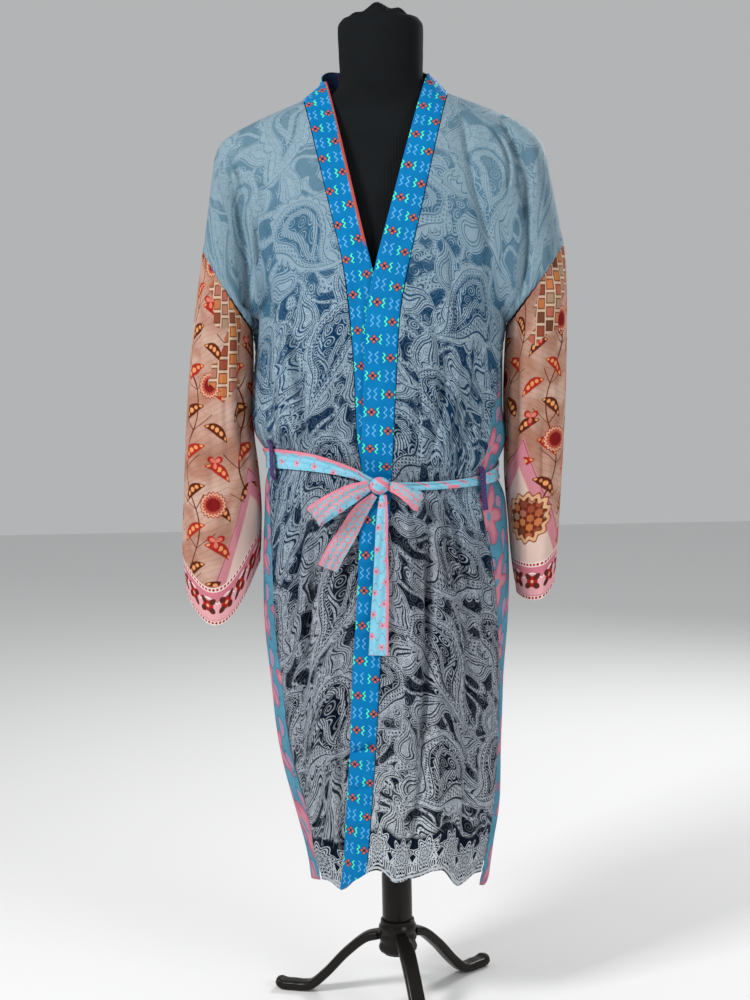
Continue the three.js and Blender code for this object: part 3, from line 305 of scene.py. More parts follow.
# Swells of the sleeves: place round and along, height, half sizes round and along. Those
# below nought are folds that run in.
SLEEVE_SWELLS = (
    (0.17, 0.1, 6, 0.05, 0.1), (0.3, 0.3, 7, 0.05, 0.2), (0.13, 0.52, 6, 0.045, 0.2),
    (0.36, 0.62, 5, 0.05, 0.15), (0.22, 0.85, 6, 0.05, 0.16), (0.64, 0.3, 7, 0.05, 0.2),
    (0.82, 0.2, 6, 0.05, 0.15), (0.75, 0.62, 7, 0.05, 0.25), (0.88, 0.85, 5, 0.05, 0.15),
    (0.24, 0.22, 1.8, 0.018, 0.12), (0.1, 0.3, 1.5, 0.016, 0.1), (0.4, 0.4, 2, 0.018, 0.12),
    (0.27, 0.5, 1.8, 0.016, 0.1), (0.19, 0.68, 1.8, 0.017, 0.12),
    (0.32, 0.78, 1.6, 0.016, 0.1), (0.42, 0.75, 1.8, 0.018, 0.12),
    (0.58, 0.5, 2, 0.018, 0.14), (0.7, 0.42, 1.8, 0.018, 0.12), (0.9, 0.45, 1.8, 0.018, 0.14),
    (0.66, 0.8, 1.6, 0.016, 0.1), (0.37, 0.36, -7, 0.02, 0.26), (0.29, 0.3, -3.5, 0.014, 0.2),
    (0.14, 0.4, -3.5, 0.016, 0.2), (0.22, 0.66, -4, 0.016, 0.14),
    (0.62, 0.4, -5, 0.018, 0.24), (0.8, 0.5, -4, 0.016, 0.2))

FORM = table(
    "z wide front back",
    (620, 150, 99, 95), (634, 157, 105, 100), (700, 160, 107, 101), (780, 147, 99, 91),
    (850, 130, 93, 85), (900, 124, 90, 83), (960, 132, 97, 86), (1045, 152, 113, 92),
    (1100, 160, 106, 91), (1150, 172, 92, 84), (1200, 183, 76, 71), (1232, 187, 64, 61),
    (1258, 186, 55, 53), (1277, 173, 47, 47), (1293, 138, 42, 43), (1304, 102, 43, 44),
    (1314, 74, 47, 49), (1328, 60.5, 54, 55), (1370, 59.5, 59.5, 59.5), (1408, 60, 60, 60),
    (1417, 56, 56, 56))
COVER_KNOT = ((-36, 4, 13, 10), (-4, -6, 20, 22), (27, 5, 14, 15))  # x, y, radius, rise


# ---- The robe's surface -----------------------------------------------------------------

def half_width(x, z):
    return np.where(x < 0, BODY.right(z), BODY.left(z))


def side_seam(side, z):
    return -BODY.seam_right(z) if side < 0 else BODY.seam_left(z)


def angle_at(x, z):
    return np.degrees(np.arcsin(np.clip(x / half_width(x, z), -1, 1)))


def ring(angle, z):
    """A plain ring of the robe: 0 is the centre front, positive to the wearer's left."""
    sine, cosine = np.sin(np.radians(angle)), np.cos(np.radians(angle))
    depth = np.where(cosine > 0, BODY.front(z), BODY.back(z))
    return points(half_width(sine, z) * sine, -depth * cosine, z)


def gathered(angle, z):
    """Belt pinch, the roll above it and the gathers on both sides of it."""
    away = z - BELT.z(np.clip(angle, -180, 180))
    total = 0
    for i in range(GATHERS):
        middle = -180 + (i + 0.5) * 360 / GATHERS + 5 * np.sin(i * 2.4)
        depth = GATHER_DEPTH * (0.7 + 0.4 * np.sin(i * 4.1))
        total = total - depth * bell((angle - middle) / GATHER_WIDTH)
    fade = bell(away / GATHER_REACH) * ease(4, 26, np.abs(away))
    return (-BELT_PINCH * bell(away / BELT_REACH)
            + BLOUSE_DEPTH * bell((away - BLOUSE_ABOVE) / BLOUSE_REACH) + total * fade)


def height_below(level, waist, hem, t):
    """Height of a row below the level where the rings begin."""
    high, low = waist + WAIST_REACH, waist - WAIST_REACH
    return np.where(t < 2, mix(level, high, t - 1),
                    np.where(t < 3, mix(high, low, t - 2), mix(low, hem, t - 3)))


def creased(creases, x, z):
    """Sum of the creases' troughs at places seen from the front."""
    total = 0
    for x1, z1, x2, z2, bow, depth, width in creases:
        dx, dz = x2 - x1, z2 - z1
        length = np.hypot(dx, dz)
        along = ((x - x1) * dx + (z - z1) * dz) / length ** 2
        aside = ((x - x1) * -dz + (z - z1) * dx) / length - bow * 4 * along * (1 - along)
        ends = ease(-0.08, 0.2, along) * ease(1.08, 0.8, along)
        total = total - depth * bell(aside / width) * ends
    return total


def sharp(fine, deep, x, z):
    """Narrow folds with a raised lip on both sides, also along the deep ones' bottoms."""
    cores = [(*row[:5], 0.24 * row[5], 0.4 * row[6]) for row in deep]
    narrow = [*fine, *cores]
    lips = [(*row[:5], -0.5 * row[5], 2.3 * row[6]) for row in narrow]
    return (creased(narrow, x, z) + creased(lips, x, z)) * FINE_DEPTH


def shoulder_line(side):
    rows = SHOULDER_LEFT if side > 0 else SHOULDER_RIGHT
    through = np.array([(side * x, 0, z) for x, z in rows])
    dense = np.linspace(0, 1, 2001)
    path = spline(through, dense)
    steps = np.linalg.norm(np.diff(path, axis=0), axis=1)
    shares = np.concatenate([[0], np.cumsum(steps)]) / steps.sum()
    return lambda share: spline(through, np.interp(np.clip(share, 0, 1), shares, dense))


SHOULDER = {-1: shoulder_line(-1), 1: shoulder_line(1)}


def neck_point(side, share):
    """The back neckline, from the centre (0) to the shoulder seam (1)."""
    seam = SHOULDER[side](0.0)
    rows = [(at, x * abs(seam[0]), y, z) for at, x, y, z in NECKLINE]
    line = table("share x y z", *rows, (1, abs(seam[0]), 0, seam[2]))
    return points(side * line.x(share), line.y(share), line.z(share))


def draped(top, foot, arm, reach, t, forward, angle, level):
    """The cloth from the shoulder line down to the level where the rings begin."""
    high = top.copy()
    high[..., 0] = mix(top[..., 0], foot[..., 0], 0.08 * (1 - arm))
    high[..., 1] += forward * reach
    low = foot + (top - foot) * (0.33 * (1 - arm))[..., None]
    lean = (ring(angle, level + LEAN_STEP)[..., 1] - foot[..., 1]) / LEAN_STEP
    low[..., 1] = (foot[..., 1] + lean * (low[..., 2] - foot[..., 2])
                   + forward * ARMHOLE_DEPTH * ARC_HANDLE * arm)
    return bezier(top, high, low, foot, np.clip(t, 0, 1))


def front_shape(side, s, t):
    """One front: s is -1 at the free edge, 0 at the band seam, 1 at the side seam.

    t is 0 at the shoulder, 1 where the rings begin, 2 and 3 above and below the belt and 4 at
    the hem, as on the back.
    """
    band = UNDER_BAND if side < 0 else OVER_BAND
    level = mix(CHEST_LEVEL, UNDERARM_LEVEL, ease(0, 1, s))

    def angle_on(z):
        in_band = angle_at(mix(band.seam(z), band.edge(z), -s), z)
        in_panel = mix(angle_at(band.seam(z), z), side_seam(side, z), s)
        return np.where(s <= 0, in_band, in_panel)

    hem = FRONT_HEM.z(ring(angle_on(HEM_LEVEL), HEM_LEVEL)[..., 0])
    z = height_below(level, BELT.z(angle_on(WAIST_LEVEL)), hem, t)
    lower = ring(angle_on(z), z)
    edge = COLLAR_LEFT if side > 0 else COLLAR_RIGHT
    seam_top = SHOULDER[side](0.0)
    collar_top = np.array([side * edge.x, edge.y, edge.z])
    in_band = seam_top + (collar_top - seam_top) * np.clip(-s, 0, 1)[..., None]
    top = np.where((s <= 0)[..., None], in_band, SHOULDER[side](s))
    foot = ring(angle_on(level), level)
    arm = ease(0.45, 1, s)
    reach = np.where(s <= 0, mix(SHOULDER_REACH, COLLAR_REACH, -s),
                     mix(SHOULDER_REACH, ARMHOLE_DEPTH * ARC_HANDLE, s))
    upper = draped(top, foot, arm, reach, t, -1, angle_on(level), level)
    return np.where((t >= 1)[..., None], lower, upper)


def front_relief(side, s, t, base):
    """How far the cloth stands off the plain front: folds, gathers and the overlap."""
    x, z = base[..., 0], base[..., 2]
    angle = angle_at(x, z)
    open_to = ease(0, 0.22, t) * (1 - ease(0.93, 1, s))
    lead = OVER_BAND.edge(z)
    covered = ease(lead - OVERLAP_START, lead - OVERLAP_END, x) * ease(0.8, 1, t)
    calm = mix(0.25, 1, ease(10, 34, np.abs(z - BELT.z(angle))))
    fine = sharp(FINE_FRONT_CREASES, FRONT_CREASES, x, z) * calm
    relief = (creased(FRONT_CREASES, x, z) + fine) * open_to
    relief = relief + np.where(t > 1, gathered(angle, z), 0)
    relief = relief - (OVERLAP_DROP * covered if side < 0 else 0)
    return relief + np.where(s < 0, BAND_PROUD, 0)


def back_shape(side, s, t):
    """Half the back: s is 0 at the centre seam and 1 at the side seam."""
    level = mix(BACK_LEVEL, UNDERARM_LEVEL, ease(0, 1, s))

    def angle_on(z):
        return mix(180 * side, side_seam(side, z), s)

    z = height_below(level, BELT.z(angle_on(WAIST_LEVEL)), BACK_HEM.z(angle_on(HEM_LEVEL)), t)
    lower = ring(angle_on(z), z)
    on_neck = s < NECK_SHARE
    share = np.clip(s / NECK_SHARE, 0, 1)
    over = np.clip((s - NECK_SHARE) / (1 - NECK_SHARE), 0, 1)
    top = np.where(on_neck[..., None], neck_point(side, share), SHOULDER[side](over))
    foot = ring(angle_on(level), level)
    arm = ease(0.5, 1, s)
    reach = np.where(on_neck, mix(NECK_REACH, SHOULDER_REACH, share ** 3),
                     mix(SHOULDER_REACH, ARMHOLE_DEPTH * ARC_HANDLE, s))
    upper = draped(top, foot, arm, reach, t, 1, angle_on(level), level)
    return np.where((t >= 1)[..., None], lower, upper)


def back_relief(side, s, t, base):
    """How far the cloth stands off the plain back."""
    x, z = base[..., 0], base[..., 2]
    angle = mix(180 * side, side_seam(side, z), s)
    calm = mix(0.25, 1, ease(10, 34, np.abs(z - BELT.z(np.clip(angle, -180, 180)))))
    fine = sharp(FINE_BACK_CREASES, BACK_CREASES, x, z) * calm
    creases = creased(BACK_CREASES, x, z) + fine
    creases = creases * ease(0, 0.25, t) * (1 - ease(0.84, 1, s))
    relief = creases + np.where(t > 1, gathered(angle, z), 0)
    # no fold reaches the form's lower end
    return np.maximum(relief, mix(DEEPEST_FOLD, FREE_FOLD, ease(*FORM_FOOT, z)
                                  + ease(*FORM_TOP, z)))


def skin(angle, z):
    """The robe's outer skin below the arms, and its outward direction."""
    angle, z = np.broadcast_arrays(np.asarray(angle, float), np.asarray(z, float))
    patch = 4
    along = ring(angle + patch, z) - ring(angle - patch, z)
    down = ring(angle, z - patch) - ring(angle, z + patch)
    out = unit(np.cross(down, along))
    spot = ring(angle, z)
    x = spot[..., 0]
    creases = np.where(np.cos(np.radians(angle)) > 0, creased(FRONT_CREASES, x, z),
                       creased(BACK_CREASES, x, z))
    return spot + out * (gathered(angle, z) + creases)[..., None], out


# ---- Meshes -----------------------------------------------------------------------------

def arc(grid, axis):
    """Distance along a grid's rows or columns, in millimetres."""
    steps = np.linalg.norm(np.diff(grid, axis=axis), axis=-1)
    return np.concatenate([np.zeros_like(np.take(steps, [0], axis)), np.cumsum(steps, axis)],
                          axis)


def normals(grid, looped=False):
    if looped:
        along = np.roll(grid, -1, 1) - np.roll(grid, 1, 1)
    else:
        along = np.gradient(grid, axis=1)
    return unit(np.cross(np.gradient(grid, axis=0), along))


def pucker(distance, along, height=0.7, pitch=13.0, reach=13.0):
    """Small ripples beside a line of stitches."""
    wave = np.sin(along * 2 * np.pi / pitch + 2.2 * np.sin(along / 31))
    return height * wave * bell(distance / reach)


def new_object(name, vertices, faces, slot, **layers):
    """A mesh object in the frame's metres that rides on the root body."""
    mesh = bpy.data.meshes.new(f"{name}_fine")
    mesh.from_pydata(((np.asarray(vertices) + AXIS) * MM).tolist(), [], faces)
    for key, values in layers.items():
        layer = mesh.attributes.new(key, "FLOAT_VECTOR", "POINT")
        layer.data.foreach_set("vector", np.ascontiguousarray(values, np.float32).ravel())
    mesh.validate()
    mesh.shade_smooth()
    mesh.set_sharp_from_angle(angle=np.radians(SHARP_EDGE))
    made = bpy.data.objects.new(f"{name}_fine", mesh)
    bpy.context.scene.collection.objects.link(made)
    made.data.materials.append(finish_of(slot))
    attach(made, "root")
    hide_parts(name)
    return made


def raised(base, relief, looped=False):
    return base + normals(base, looped) * relief[..., None]


def measured(base, from_end):
    """Distances across and down a grid, across from its last column, and its width."""
    across, down = arc(base, 1), arc(base, 0)
    width = across[:, -1:]
    return (width - across if from_end else across), down, width


def hanging(t, base):
    """Where the cloth hangs free: nowhere near the shoulder, little at the belt."""
    return ease(0.05, 0.5, t) * (1 - 0.7 * bell((base[..., 2] - WAIST_LEVEL) / 24))


def cloth_object(name, outer, thickness, cloth, slot, looped=False, centred=False, edge=0,
                 faces_in=False):
    """A closed wall of cloth on a grid.

    Its layer "cloth" holds the distances across, down and up from the hem, and "side" holds
    1 on the lining and 1 on a contrasting edge.
    """
    rows, columns = outer.shape[:2]
    facing = normals(outer, looped)
    if centred:
        outer = outer + facing * thickness / 2
    inner = outer - facing * thickness
    vertices = np.concatenate([outer.reshape(-1, 3), inner.reshape(-1, 3)])
    size = rows * columns
    i = np.arange(columns if looped else columns - 1)
    j = np.arange(rows - 1)
    jj, ii = np.meshgrid(j, i, indexing="ij")
    nn = (ii + 1) % columns
    a, b = jj * columns + ii, (jj + 1) * columns + ii
    c, d = (jj + 1) * columns + nn, jj * columns + nn
    faces = [np.stack([a, b, c, d], -1).reshape(-1, 4),
             np.stack([a, d, c, b], -1).reshape(-1, 4) + size]
    n = (i + 1) % columns
    last = (rows - 1) * columns
    faces.append(np.stack([i, n, n + size, i + size], -1))
    faces.append(np.stack([last + i, last + i + size, last + n + size, last + n], -1))
    if not looped:
        low, high = j * columns, (j + 1) * columns
        end = columns - 1
        faces.append(np.stack([low, low + size, high + size, high], -1))
        faces.append(np.stack([low + end, high + end, high + end + size, low + end + size], -1))
    shape = outer.shape[:2]
    places = np.stack([np.broadcast_to(part, shape) for part in cloth], -1).reshape(-1, 3)
    sides = [np.stack([np.broadcast_to(part, shape) for part in (lining, edge, 0)], -1)
             for lining in ((1, 0) if faces_in else (0, 1))]
    return new_object(name, vertices, np.concatenate(faces).tolist(), slot,
                      cloth=np.concatenate([places, places]),
                      side=np.concatenate([part.reshape(-1, 3) for part in sides]))


def loft_object(name, loops, slot, cloth, side=0):
    """A closed body through loops of points, both ends capped."""
    count, sides = loops.shape[:2]
    i, j = np.meshgrid(np.arange(sides), np.arange(count - 1))
    n = (i + 1) % sides
    here, above = j * sides, (j + 1) * sides
    quads = np.stack([here + i, here + n, above + n, above + i], -1)
    faces = quads.reshape(-1, 4).tolist()
    faces.append(list(range(sides))[::-1])
    faces.append([(count - 1) * sides + k for k in range(sides)])
    return new_object(name, loops.reshape(-1, 3), faces, slot, cloth=cloth,
                      side=side + 0 * cloth)


def rows_at(zones, v):
    """The surface's t at a share v of all the rows."""
    marks = np.concatenate([[0], np.cumsum(zones)])
    return np.maximum(0.0015, np.interp(v * marks[-1], marks, np.arange(len(zones) + 1)))


def grid_of(columns, rows, looped=False):
    u = np.linspace(0, 1, columns + 1)[:-1] if looped else np.linspace(0, 1, columns + 1)
    return np.meshgrid(u, np.linspace(0, 1, rows + 1))


def ripple(x, y, height):
    """Soft unevenness of hanging cloth."""
    return height * (np.sin(x / 17 + 1.3 * np.sin(y / 61)) * np.sin(y / 83 + x / 97)
                     + 0.5 * np.sin(x / 9.5 + y / 47) * np.sin(y / 39 - x / 71))


# ---- Shaders ----------------------------------------------------------------------------

class Value:
    """A shader socket whose sums, products and comparisons add Math nodes."""

    def __init__(self, shader, socket):
        self.shader, self.socket = shader, socket

    def math(self, operation, *others, clamp=False):
        settings = {"operation": operation, "use_clamp": clamp}
        return self.shader.node("ShaderNodeMath", settings, (self, *others))

    def reflected(self, operation, other):
        return self.shader.node("ShaderNodeMath", {"operation": operation}, (other, self))

    def __add__(self, other): return self.math("ADD", other)
    def __radd__(self, other): return self.math("ADD", other)
    def __sub__(self, other): return self.math("SUBTRACT", other)
    def __rsub__(self, other): return self.reflected("SUBTRACT", other)
    def __mul__(self, other): return self.math("MULTIPLY", other)
    def __rmul__(self, other): return self.math("MULTIPLY", other)
    def __truediv__(self, other): return self.math("DIVIDE", other)
    def __rtruediv__(self, other): return self.reflected("DIVIDE", other)
    def __mod__(self, other): return self.math("FLOORED_MODULO", other)
    def __pow__(self, other): return self.math("POWER", other)
    def __lt__(self, other): return self.math("LESS_THAN", other)
    def __gt__(self, other): return self.math("GREATER_THAN", other)
    def __abs__(self): return self.math("ABSOLUTE")

    def floor(self): return self.math("FLOOR")
    def sin(self): return self.math("SINE")
    def cos(self): return self.math("COSINE")
    def root(self): return self.math("SQRT")
    def low(self, other): return self.math("MINIMUM", other)
    def high(self, other): return self.math("MAXIMUM", other)

    def step(self, start, end):
        """0 at start, 1 at end, straight between."""
        span = end - start
        return self.math("MULTIPLY_ADD", 1 / span, -start / span, clamp=True)

    def coat(self, mask, *top):
        """This colour under another one, a screen colour or a shader's, by the mask."""
        return self.shader.blend(mask, self, top[0] if len(top) == 1 else rgb(*top))

    def coats(self, *coats):
        """This colour under several, each with its mask, the last one on top."""
        below = self
        for mask, *top in coats:
            below = below.coat(mask, *top)
        return below


def rgb(red, green, blue):
    """A screen colour as the shader's linear one."""
    linear = [c / 12.92 if c <= 0.04045 else ((c + 0.055) / 1.055) ** 2.4
              for c in (red, green, blue)]
    return (*linear, 1.0)


class Shader:
    """One material's node tree, with a Principled shader at its end."""

    def __init__(self, name, roughness, specular=0.5, coat=0.0):
        self.material = bpy.data.materials.new(name)
        self.material.use_nodes = True
        self.tree = self.material.node_tree
        self.tree.nodes.clear()
        output = self.tree.nodes.new("ShaderNodeOutputMaterial")
        self.principled = self.tree.nodes.new("ShaderNodeBsdfPrincipled")
        self.tree.links.new(self.principled.outputs[0], output.inputs[0])
        constants = {"Roughness": roughness, "Specular IOR Level": specular,
                     "Coat Weight": coat, "Coat Roughness": 0.12}
        for key, value in constants.items():
            self.principled.inputs[key].default_value = value

    def node(self, kind, settings=None, sockets=(), output=0):
        made = self.tree.nodes.new(kind)
        for key, value in (settings or {}).items():
            if key == "stops":
                ramp = made.color_ramp.elements
                while len(ramp) < len(value):
                    ramp.new(0.5)
                for element, (position, *screen) in zip(ramp, value):
                    element.position, element.color = position, rgb(*screen)
            else:
                setattr(made, key, value)
        pairs = sockets.items() if isinstance(sockets, dict) else enumerate(sockets)
        for key, value in pairs:
            if isinstance(value, Value):
                self.tree.links.new(value.socket, made.inputs[key])
            else:
                made.inputs[key].default_value = value
        return Value(self, made.outputs[output])

    def layer(self, name):
        """The vector stored on the cloth and its three numbers."""
        vector = self.node("ShaderNodeAttribute", {"attribute_name": name,
                                                   "attribute_type": "GEOMETRY"}, (), 1)
        split = self.node("ShaderNodeSeparateXYZ", None, (vector,))
        outputs = split.socket.node.outputs
        return vector, *(Value(self, outputs[i]) for i in range(3))

    def noise(self, vector, scale, detail=2.0, roughness=0.5):
        return self.node("ShaderNodeTexNoise", None,
                         {"Vector": vector, "Scale": scale, "Detail": detail,
                          "Roughness": roughness})

    def vector(self, x, y, z=0.0):
        return self.node("ShaderNodeCombineXYZ", None, (x, y, z))

    def blend(self, factor, a, b, kind="MIX"):
        return self.node("ShaderNodeMix", {"data_type": "RGBA", "blend_type": kind},
                         {0: factor, 6: a, 7: b}, 2)

    def ramp(self, value, *stops):
        """Each stop is its place and a screen colour."""
        return self.node("ShaderNodeValToRGB", {"stops": stops}, (value,))

    def finish(self, colour, height=None, distance=0.0005, roughness=None, strength=1.0):
        self.tree.links.new(colour.socket, self.principled.inputs["Base Color"])
        if roughness is not None:
            self.tree.links.new(roughness.socket, self.principled.inputs["Roughness"])
        if height is not None:
            bump = self.node("ShaderNodeBump", None,
                             {"Strength": strength, "Distance": distance, "Height": height})
            self.tree.links.new(bump.socket, self.principled.inputs["Normal"])
        return self.material


# ---- Print motifs -----------------------------------------------------------------------

def cell(x, y, width, height, drop=0.5):
    """A repeat in columns, every other one dropped: place in the cell, column and row."""
    column = (x / width).floor()
    a = x - (column + 0.5) * width
    fall = y / height + (column % 2) * drop
    row = fall.floor()
    b = (fall - row - 0.5) * height
    return a, b, column, row


def line(distance, width):
    """A line where distance is nought."""
    return 1 - (abs(distance) / width).step(0.6, 1.1)


def inside(distance, soft=0.6):
    return distance.step(soft, -soft)


def length(a, b):
    return (a * a + b * b).root()


def turned(a, b, degrees):
    cosine, sine = float(np.cos(np.radians(degrees))), float(np.sin(np.radians(degrees)))
    return a * cosine + b * sine, b * cosine - a * sine


def paisley(a, b, head, tail, bend):
    """Signed distance to a drop with a round head and a tail that bends over."""
    rise = b.high(0)
    aside = abs(a - rise * rise * bend)
    width = (1 - (rise / tail) ** 1.5) * head
    fall = b.low(0)
    return length(aside, fall) - width


def petals(a, b, count, radius, depth):
    """Signed distance to a flower with round petals."""
    turn = a.math("ARCTAN2", b)
    return length(a, b) - ((turn * float(count)).cos() * depth + radius)


def swirled(a, b, twist):
    """Places wound round the middle, more the farther out they lie."""
    angle = length(a, b) * twist
    cosine, sine = angle.cos(), angle.sin()
    return a * cosine + b * sine, b * cosine - a * sine


def curls(x, y, pitch):
    """Small spirals in a dropped repeat."""
    a, b, column, row = cell(x, y, pitch, pitch * 1.1)
    turn = (a * hand_of(column, row)).math("ARCTAN2", b) / (2 * np.pi)
    reach = length(a, b)
    wound = (reach / (pitch * 0.25) + turn) % 1
    return (abs(wound - 0.5) < 0.2) * (reach < pitch * 0.52)


def dots(x, y, pitch, radius):
    a, b, _, _ = cell(x, y, pitch, pitch)
    return length(a, b) < radius


def stripes(value, pitch, share=0.5):
    return abs((value / pitch) % 1 - 0.5) < share / 2


def weave(x, y, pitch=0.9):
    turn = 2 * np.pi / pitch
    return (x * turn).sin() * (y * turn).sin()


def hand_of(column, row):
    """1 or -1, so that neighbours in a repeat are mirrored."""
    return (column + row) % 2 * 2 - 1


class Silk(Shader):
    """A printed cloth, whose wrong side is paler and which is woven and a little crumpled."""

    def __init__(self, name, roughness, specular=0.06):
        super().__init__(name, roughness, specular)
        self.place, self.x, self.y, self.up = self.layer("cloth")
        _, self.lining, self.edge, _ = self.layer("side")

    def wash(self, scale, detail=1, roughness=0.5):
        return self.noise(self.place, scale, detail, roughness)

    def woven(self, colour, bump):
        height = self.wash(0.05, 3, 0.55) * 3 + self.wash(0.35, 2) * 0.5
        return self.finish(colour, height + weave(self.x, self.y) * 0.25, bump)

    def lined(self, colour, *tone, share=0.45, bump=0.0006):
        return self.woven(colour.coat(self.lining * share, *tone), bump)


def hem_border(x, up, warp, detail):
    """Fans and sprays above the hem, over a wavy line."""
    a, b, _, _ = cell(x + warp * 24, up, 37, 64, 0)
    fan = petals(a, (b - 3) * 0.7, 9, 14.2, 3.2)
    spray = paisley(abs(a) - 15, b + 20, 5, 22, -0.01)
    border = stripes(fan, 4.4, 0.55) * (fan < 2.6)
    border = border.high(stripes(spray, 3.2, 0.5) * (spray < 1.6)).high(
        line(b + 27 - abs((a * (np.pi / 18.5)).cos()) * 5, 1.5))
    return border.high(detail * 0.45 * up.step(54, 58))


def paisley_silk():
    silk = Silk("paisley_silk", 0.55)
    warp, wander = silk.wash(0.009), silk.wash(0.013, 1, 0.4)
    x, y, up = silk.x + warp * 36, silk.y + wander * 36, silk.up
    scroll = curls(x, y, 15)
    fine = curls(x * 0.8 + y * 0.6, y * 0.8 - x * 0.6, 9.5)
    rest = silk.wash(0.028, 1, 0.4).step(0.42, 0.5)
    # large drops with a wound tail
    a, b, column, row = cell(x, y, 112, 164)
    p, q = swirled(a * hand_of(column, row), b - 6, 0.0125)
    big = paisley(p, q + 36, 38, 104, 0.0016)
    turn = p.math("ARCTAN2", q + 36)
    fringe = big - abs((turn * 11).cos()) * 6
    band = (big < -1.5) * (big > -13)
    inner = (big < -18) * (big > -26)
    body = (fringe < 1) * (1 - (big < -13) * (1 - inner))
    band_marks = (dots(x, y, 4.4, 1.25) * (big < -4) * (big > -10.5)).high(
        line(big + 2.6, 0.9)).high(line(big + 11.4, 0.9))
    inner_marks = stripes(turn * 12 + big, 3.4, 0.4)
    # drops of middle size, lying the other way
    c, d, column, row = cell(x * 0.86 + y * 0.5, y * 0.86 - x * 0.5, 54, 72)
    r, t = swirled(c * hand_of(column, row), d * -1, 0.03)
    small = paisley(r, t + 15, 17, 46, 0.003)
    leaf = (small < 0.5) * (fringe > 4)
    leaf_marks = stripes(small, 3.9, 0.42) * (small < -2) * (small > -11)
    # ribbons that flow between them
    flow = abs((warp * 8 + wander * 2) % 1 - 0.5)
    ribbon = (flow < 0.15) * (fringe > 4) * (small > 3)
    ribbon_marks = line(flow * 40 - 4.6, 0.7).high(dots(x, y, 5.2, 1.3) * (flow < 0.08))
    solid = body.high(leaf).high(ribbon)
    marks = (body * band * band_marks).high(inner * inner_marks).high(
        leaf * leaf_marks).high(ribbon * ribbon_marks)
    core = (big < -13) * (1 - inner)
    free = (1 - solid) * (1 - core)
    edge_lines = line(fringe - 3.6, 0.9).high(line(small - 2.8, 0.9) * (fringe > 4))
    detail = (core * scroll * (1 - rest * 0.4)).high(free * (scroll * (1 - rest * 0.85)).high(
        fine * (1 - rest) * 0.45)).high(free * edge_lines)
    detailed = (solid * (0.96 - fine * 0.62) * (1 - marks * 0.95)).high(detail * 0.85)
    soft = (solid * (0.62 + fine * 0.38) * (1 - marks * 0.3)).high(
        (core + free) * 0.16 + detail * 0.5)
    in_border = (up + (warp - 0.5) * 40).step(70, 62) * up.step(7, 9)
    border = hem_border(silk.x, up, warp, detail)
    detailed = detailed * (1 - in_border) + border * in_border
    detailed = detailed.high(up.step(6.5, 5) * up.step(2.2, 2.8) * 0.9)
    # from pale shoulders through blue to a nearly black skirt
    share = ((silk.y + (warp - 0.5) * 160) / 1100).math("ADD", 0, clamp=True)
    ground = silk.ramp(share, (0, 0.31, 0.46, 0.53), (0.14, 0.28, 0.44, 0.53),
                       (0.22, 0.14, 0.35, 0.47), (0.3, 0.05, 0.24, 0.38),
                       (0.45, 0.015, 0.14, 0.25), (0.6, 0.025, 0.07, 0.13),
                       (1, 0.035, 0.08, 0.145))
    pale = silk.ramp(share, (0, 0.59, 0.67, 0.715), (0.16, 0.6, 0.69, 0.735),
                     (0.3, 0.62, 0.71, 0.76), (0.45, 0.61, 0.69, 0.745),
                     (0.6, 0.64, 0.67, 0.715), (0.85, 0.7, 0.73, 0.77), (1, 0.8, 0.83, 0.85))
    sharpened = share.step(0.13, 0.3)
    colour = ground.coat(detailed * sharpened + soft * (1 - sharpened), pale)
    return silk.lined(colour, 0.5, 0.57, 0.62)


def band_silk():
    silk = Silk("band_silk", 0.5, 0.07)
    a, b, _, _ = cell(silk.x + 2, silk.y, 23, 49)
    flower = (length(abs(a) - 3.6, b)).low(length(a, abs(b) - 3.6)) - 1.8
    wave = (b * (np.pi / 3.6)).cos() * 1.3
    green = (abs(abs(a) - 8.7 - wave) < 1) * (abs(b) < 6.6)
    far = 24.5 - abs(b)
    pair = (abs(abs(a) - 4.3 - (far * (np.pi / 4.1)).cos() * 1.6) < 0.95) * (far < 8.2)
    colour = silk.blend(silk.wash(0.02), rgb(0, 0.4, 0.64), rgb(0, 0.5, 0.73))
    colour = colour.coats(
        (pair * 0.8, 0.42, 0.72, 0.92),
        (green, 0.36, 0.95, 0.7),
        (inside(flower - 0.8, 0.3) * 0.9, 0.13, 0.1, 0.22),
        (inside(flower, 0.3), 0.8, 0.4, 0.31),
        (inside(length(a, b) - 1.4, 0.3), 0.1, 0.05, 0.1),
        (silk.edge, 0.76, 0.33, 0.27))
    return silk.lined(colour, 0.16, 0.11, 0.25, share=0.85, bump=0.0004)


def stones(shader, column, row):
    """Each cell of a repeat has one of a few brown and ochre tones."""
    pick = shader.node("ShaderNodeTexWhiteNoise", {"noise_dimensions": "2D"},
                       {"Vector": shader.vector(column, row)})
    return shader.ramp(pick, (0, 0.4, 0.25, 0.18), (0.3, 0.62, 0.3, 0.22),
                       (0.55, 0.8, 0.5, 0.28), (0.8, 0.7, 0.38, 0.32), (1, 0.66, 0.55, 0.44))


def paving(colour, x, y, drift):
    """Square stones along the seam, and where they lie."""
    a, b, column, row = cell(x + y * 0.1, y, 18, 19, 0.4)
    stone = abs(a).high(abs(b)) - 7.7
    paved = ((abs(x - 126 + y * 0.08 + drift) < 24) * (y + drift < 205)).high(
        (abs(x - 468 - y * 0.1 + drift) < 34) * (y + drift < 125))
    colour = colour.coats(
        (paved, 0.83, 0.7, 0.6),
        (paved * inside(stone, 0.6), 0.36, 0.2, 0.14),
        (paved * inside(stone + 1.5, 0.6), stones(colour.shader, column, row)))
    return colour, paved


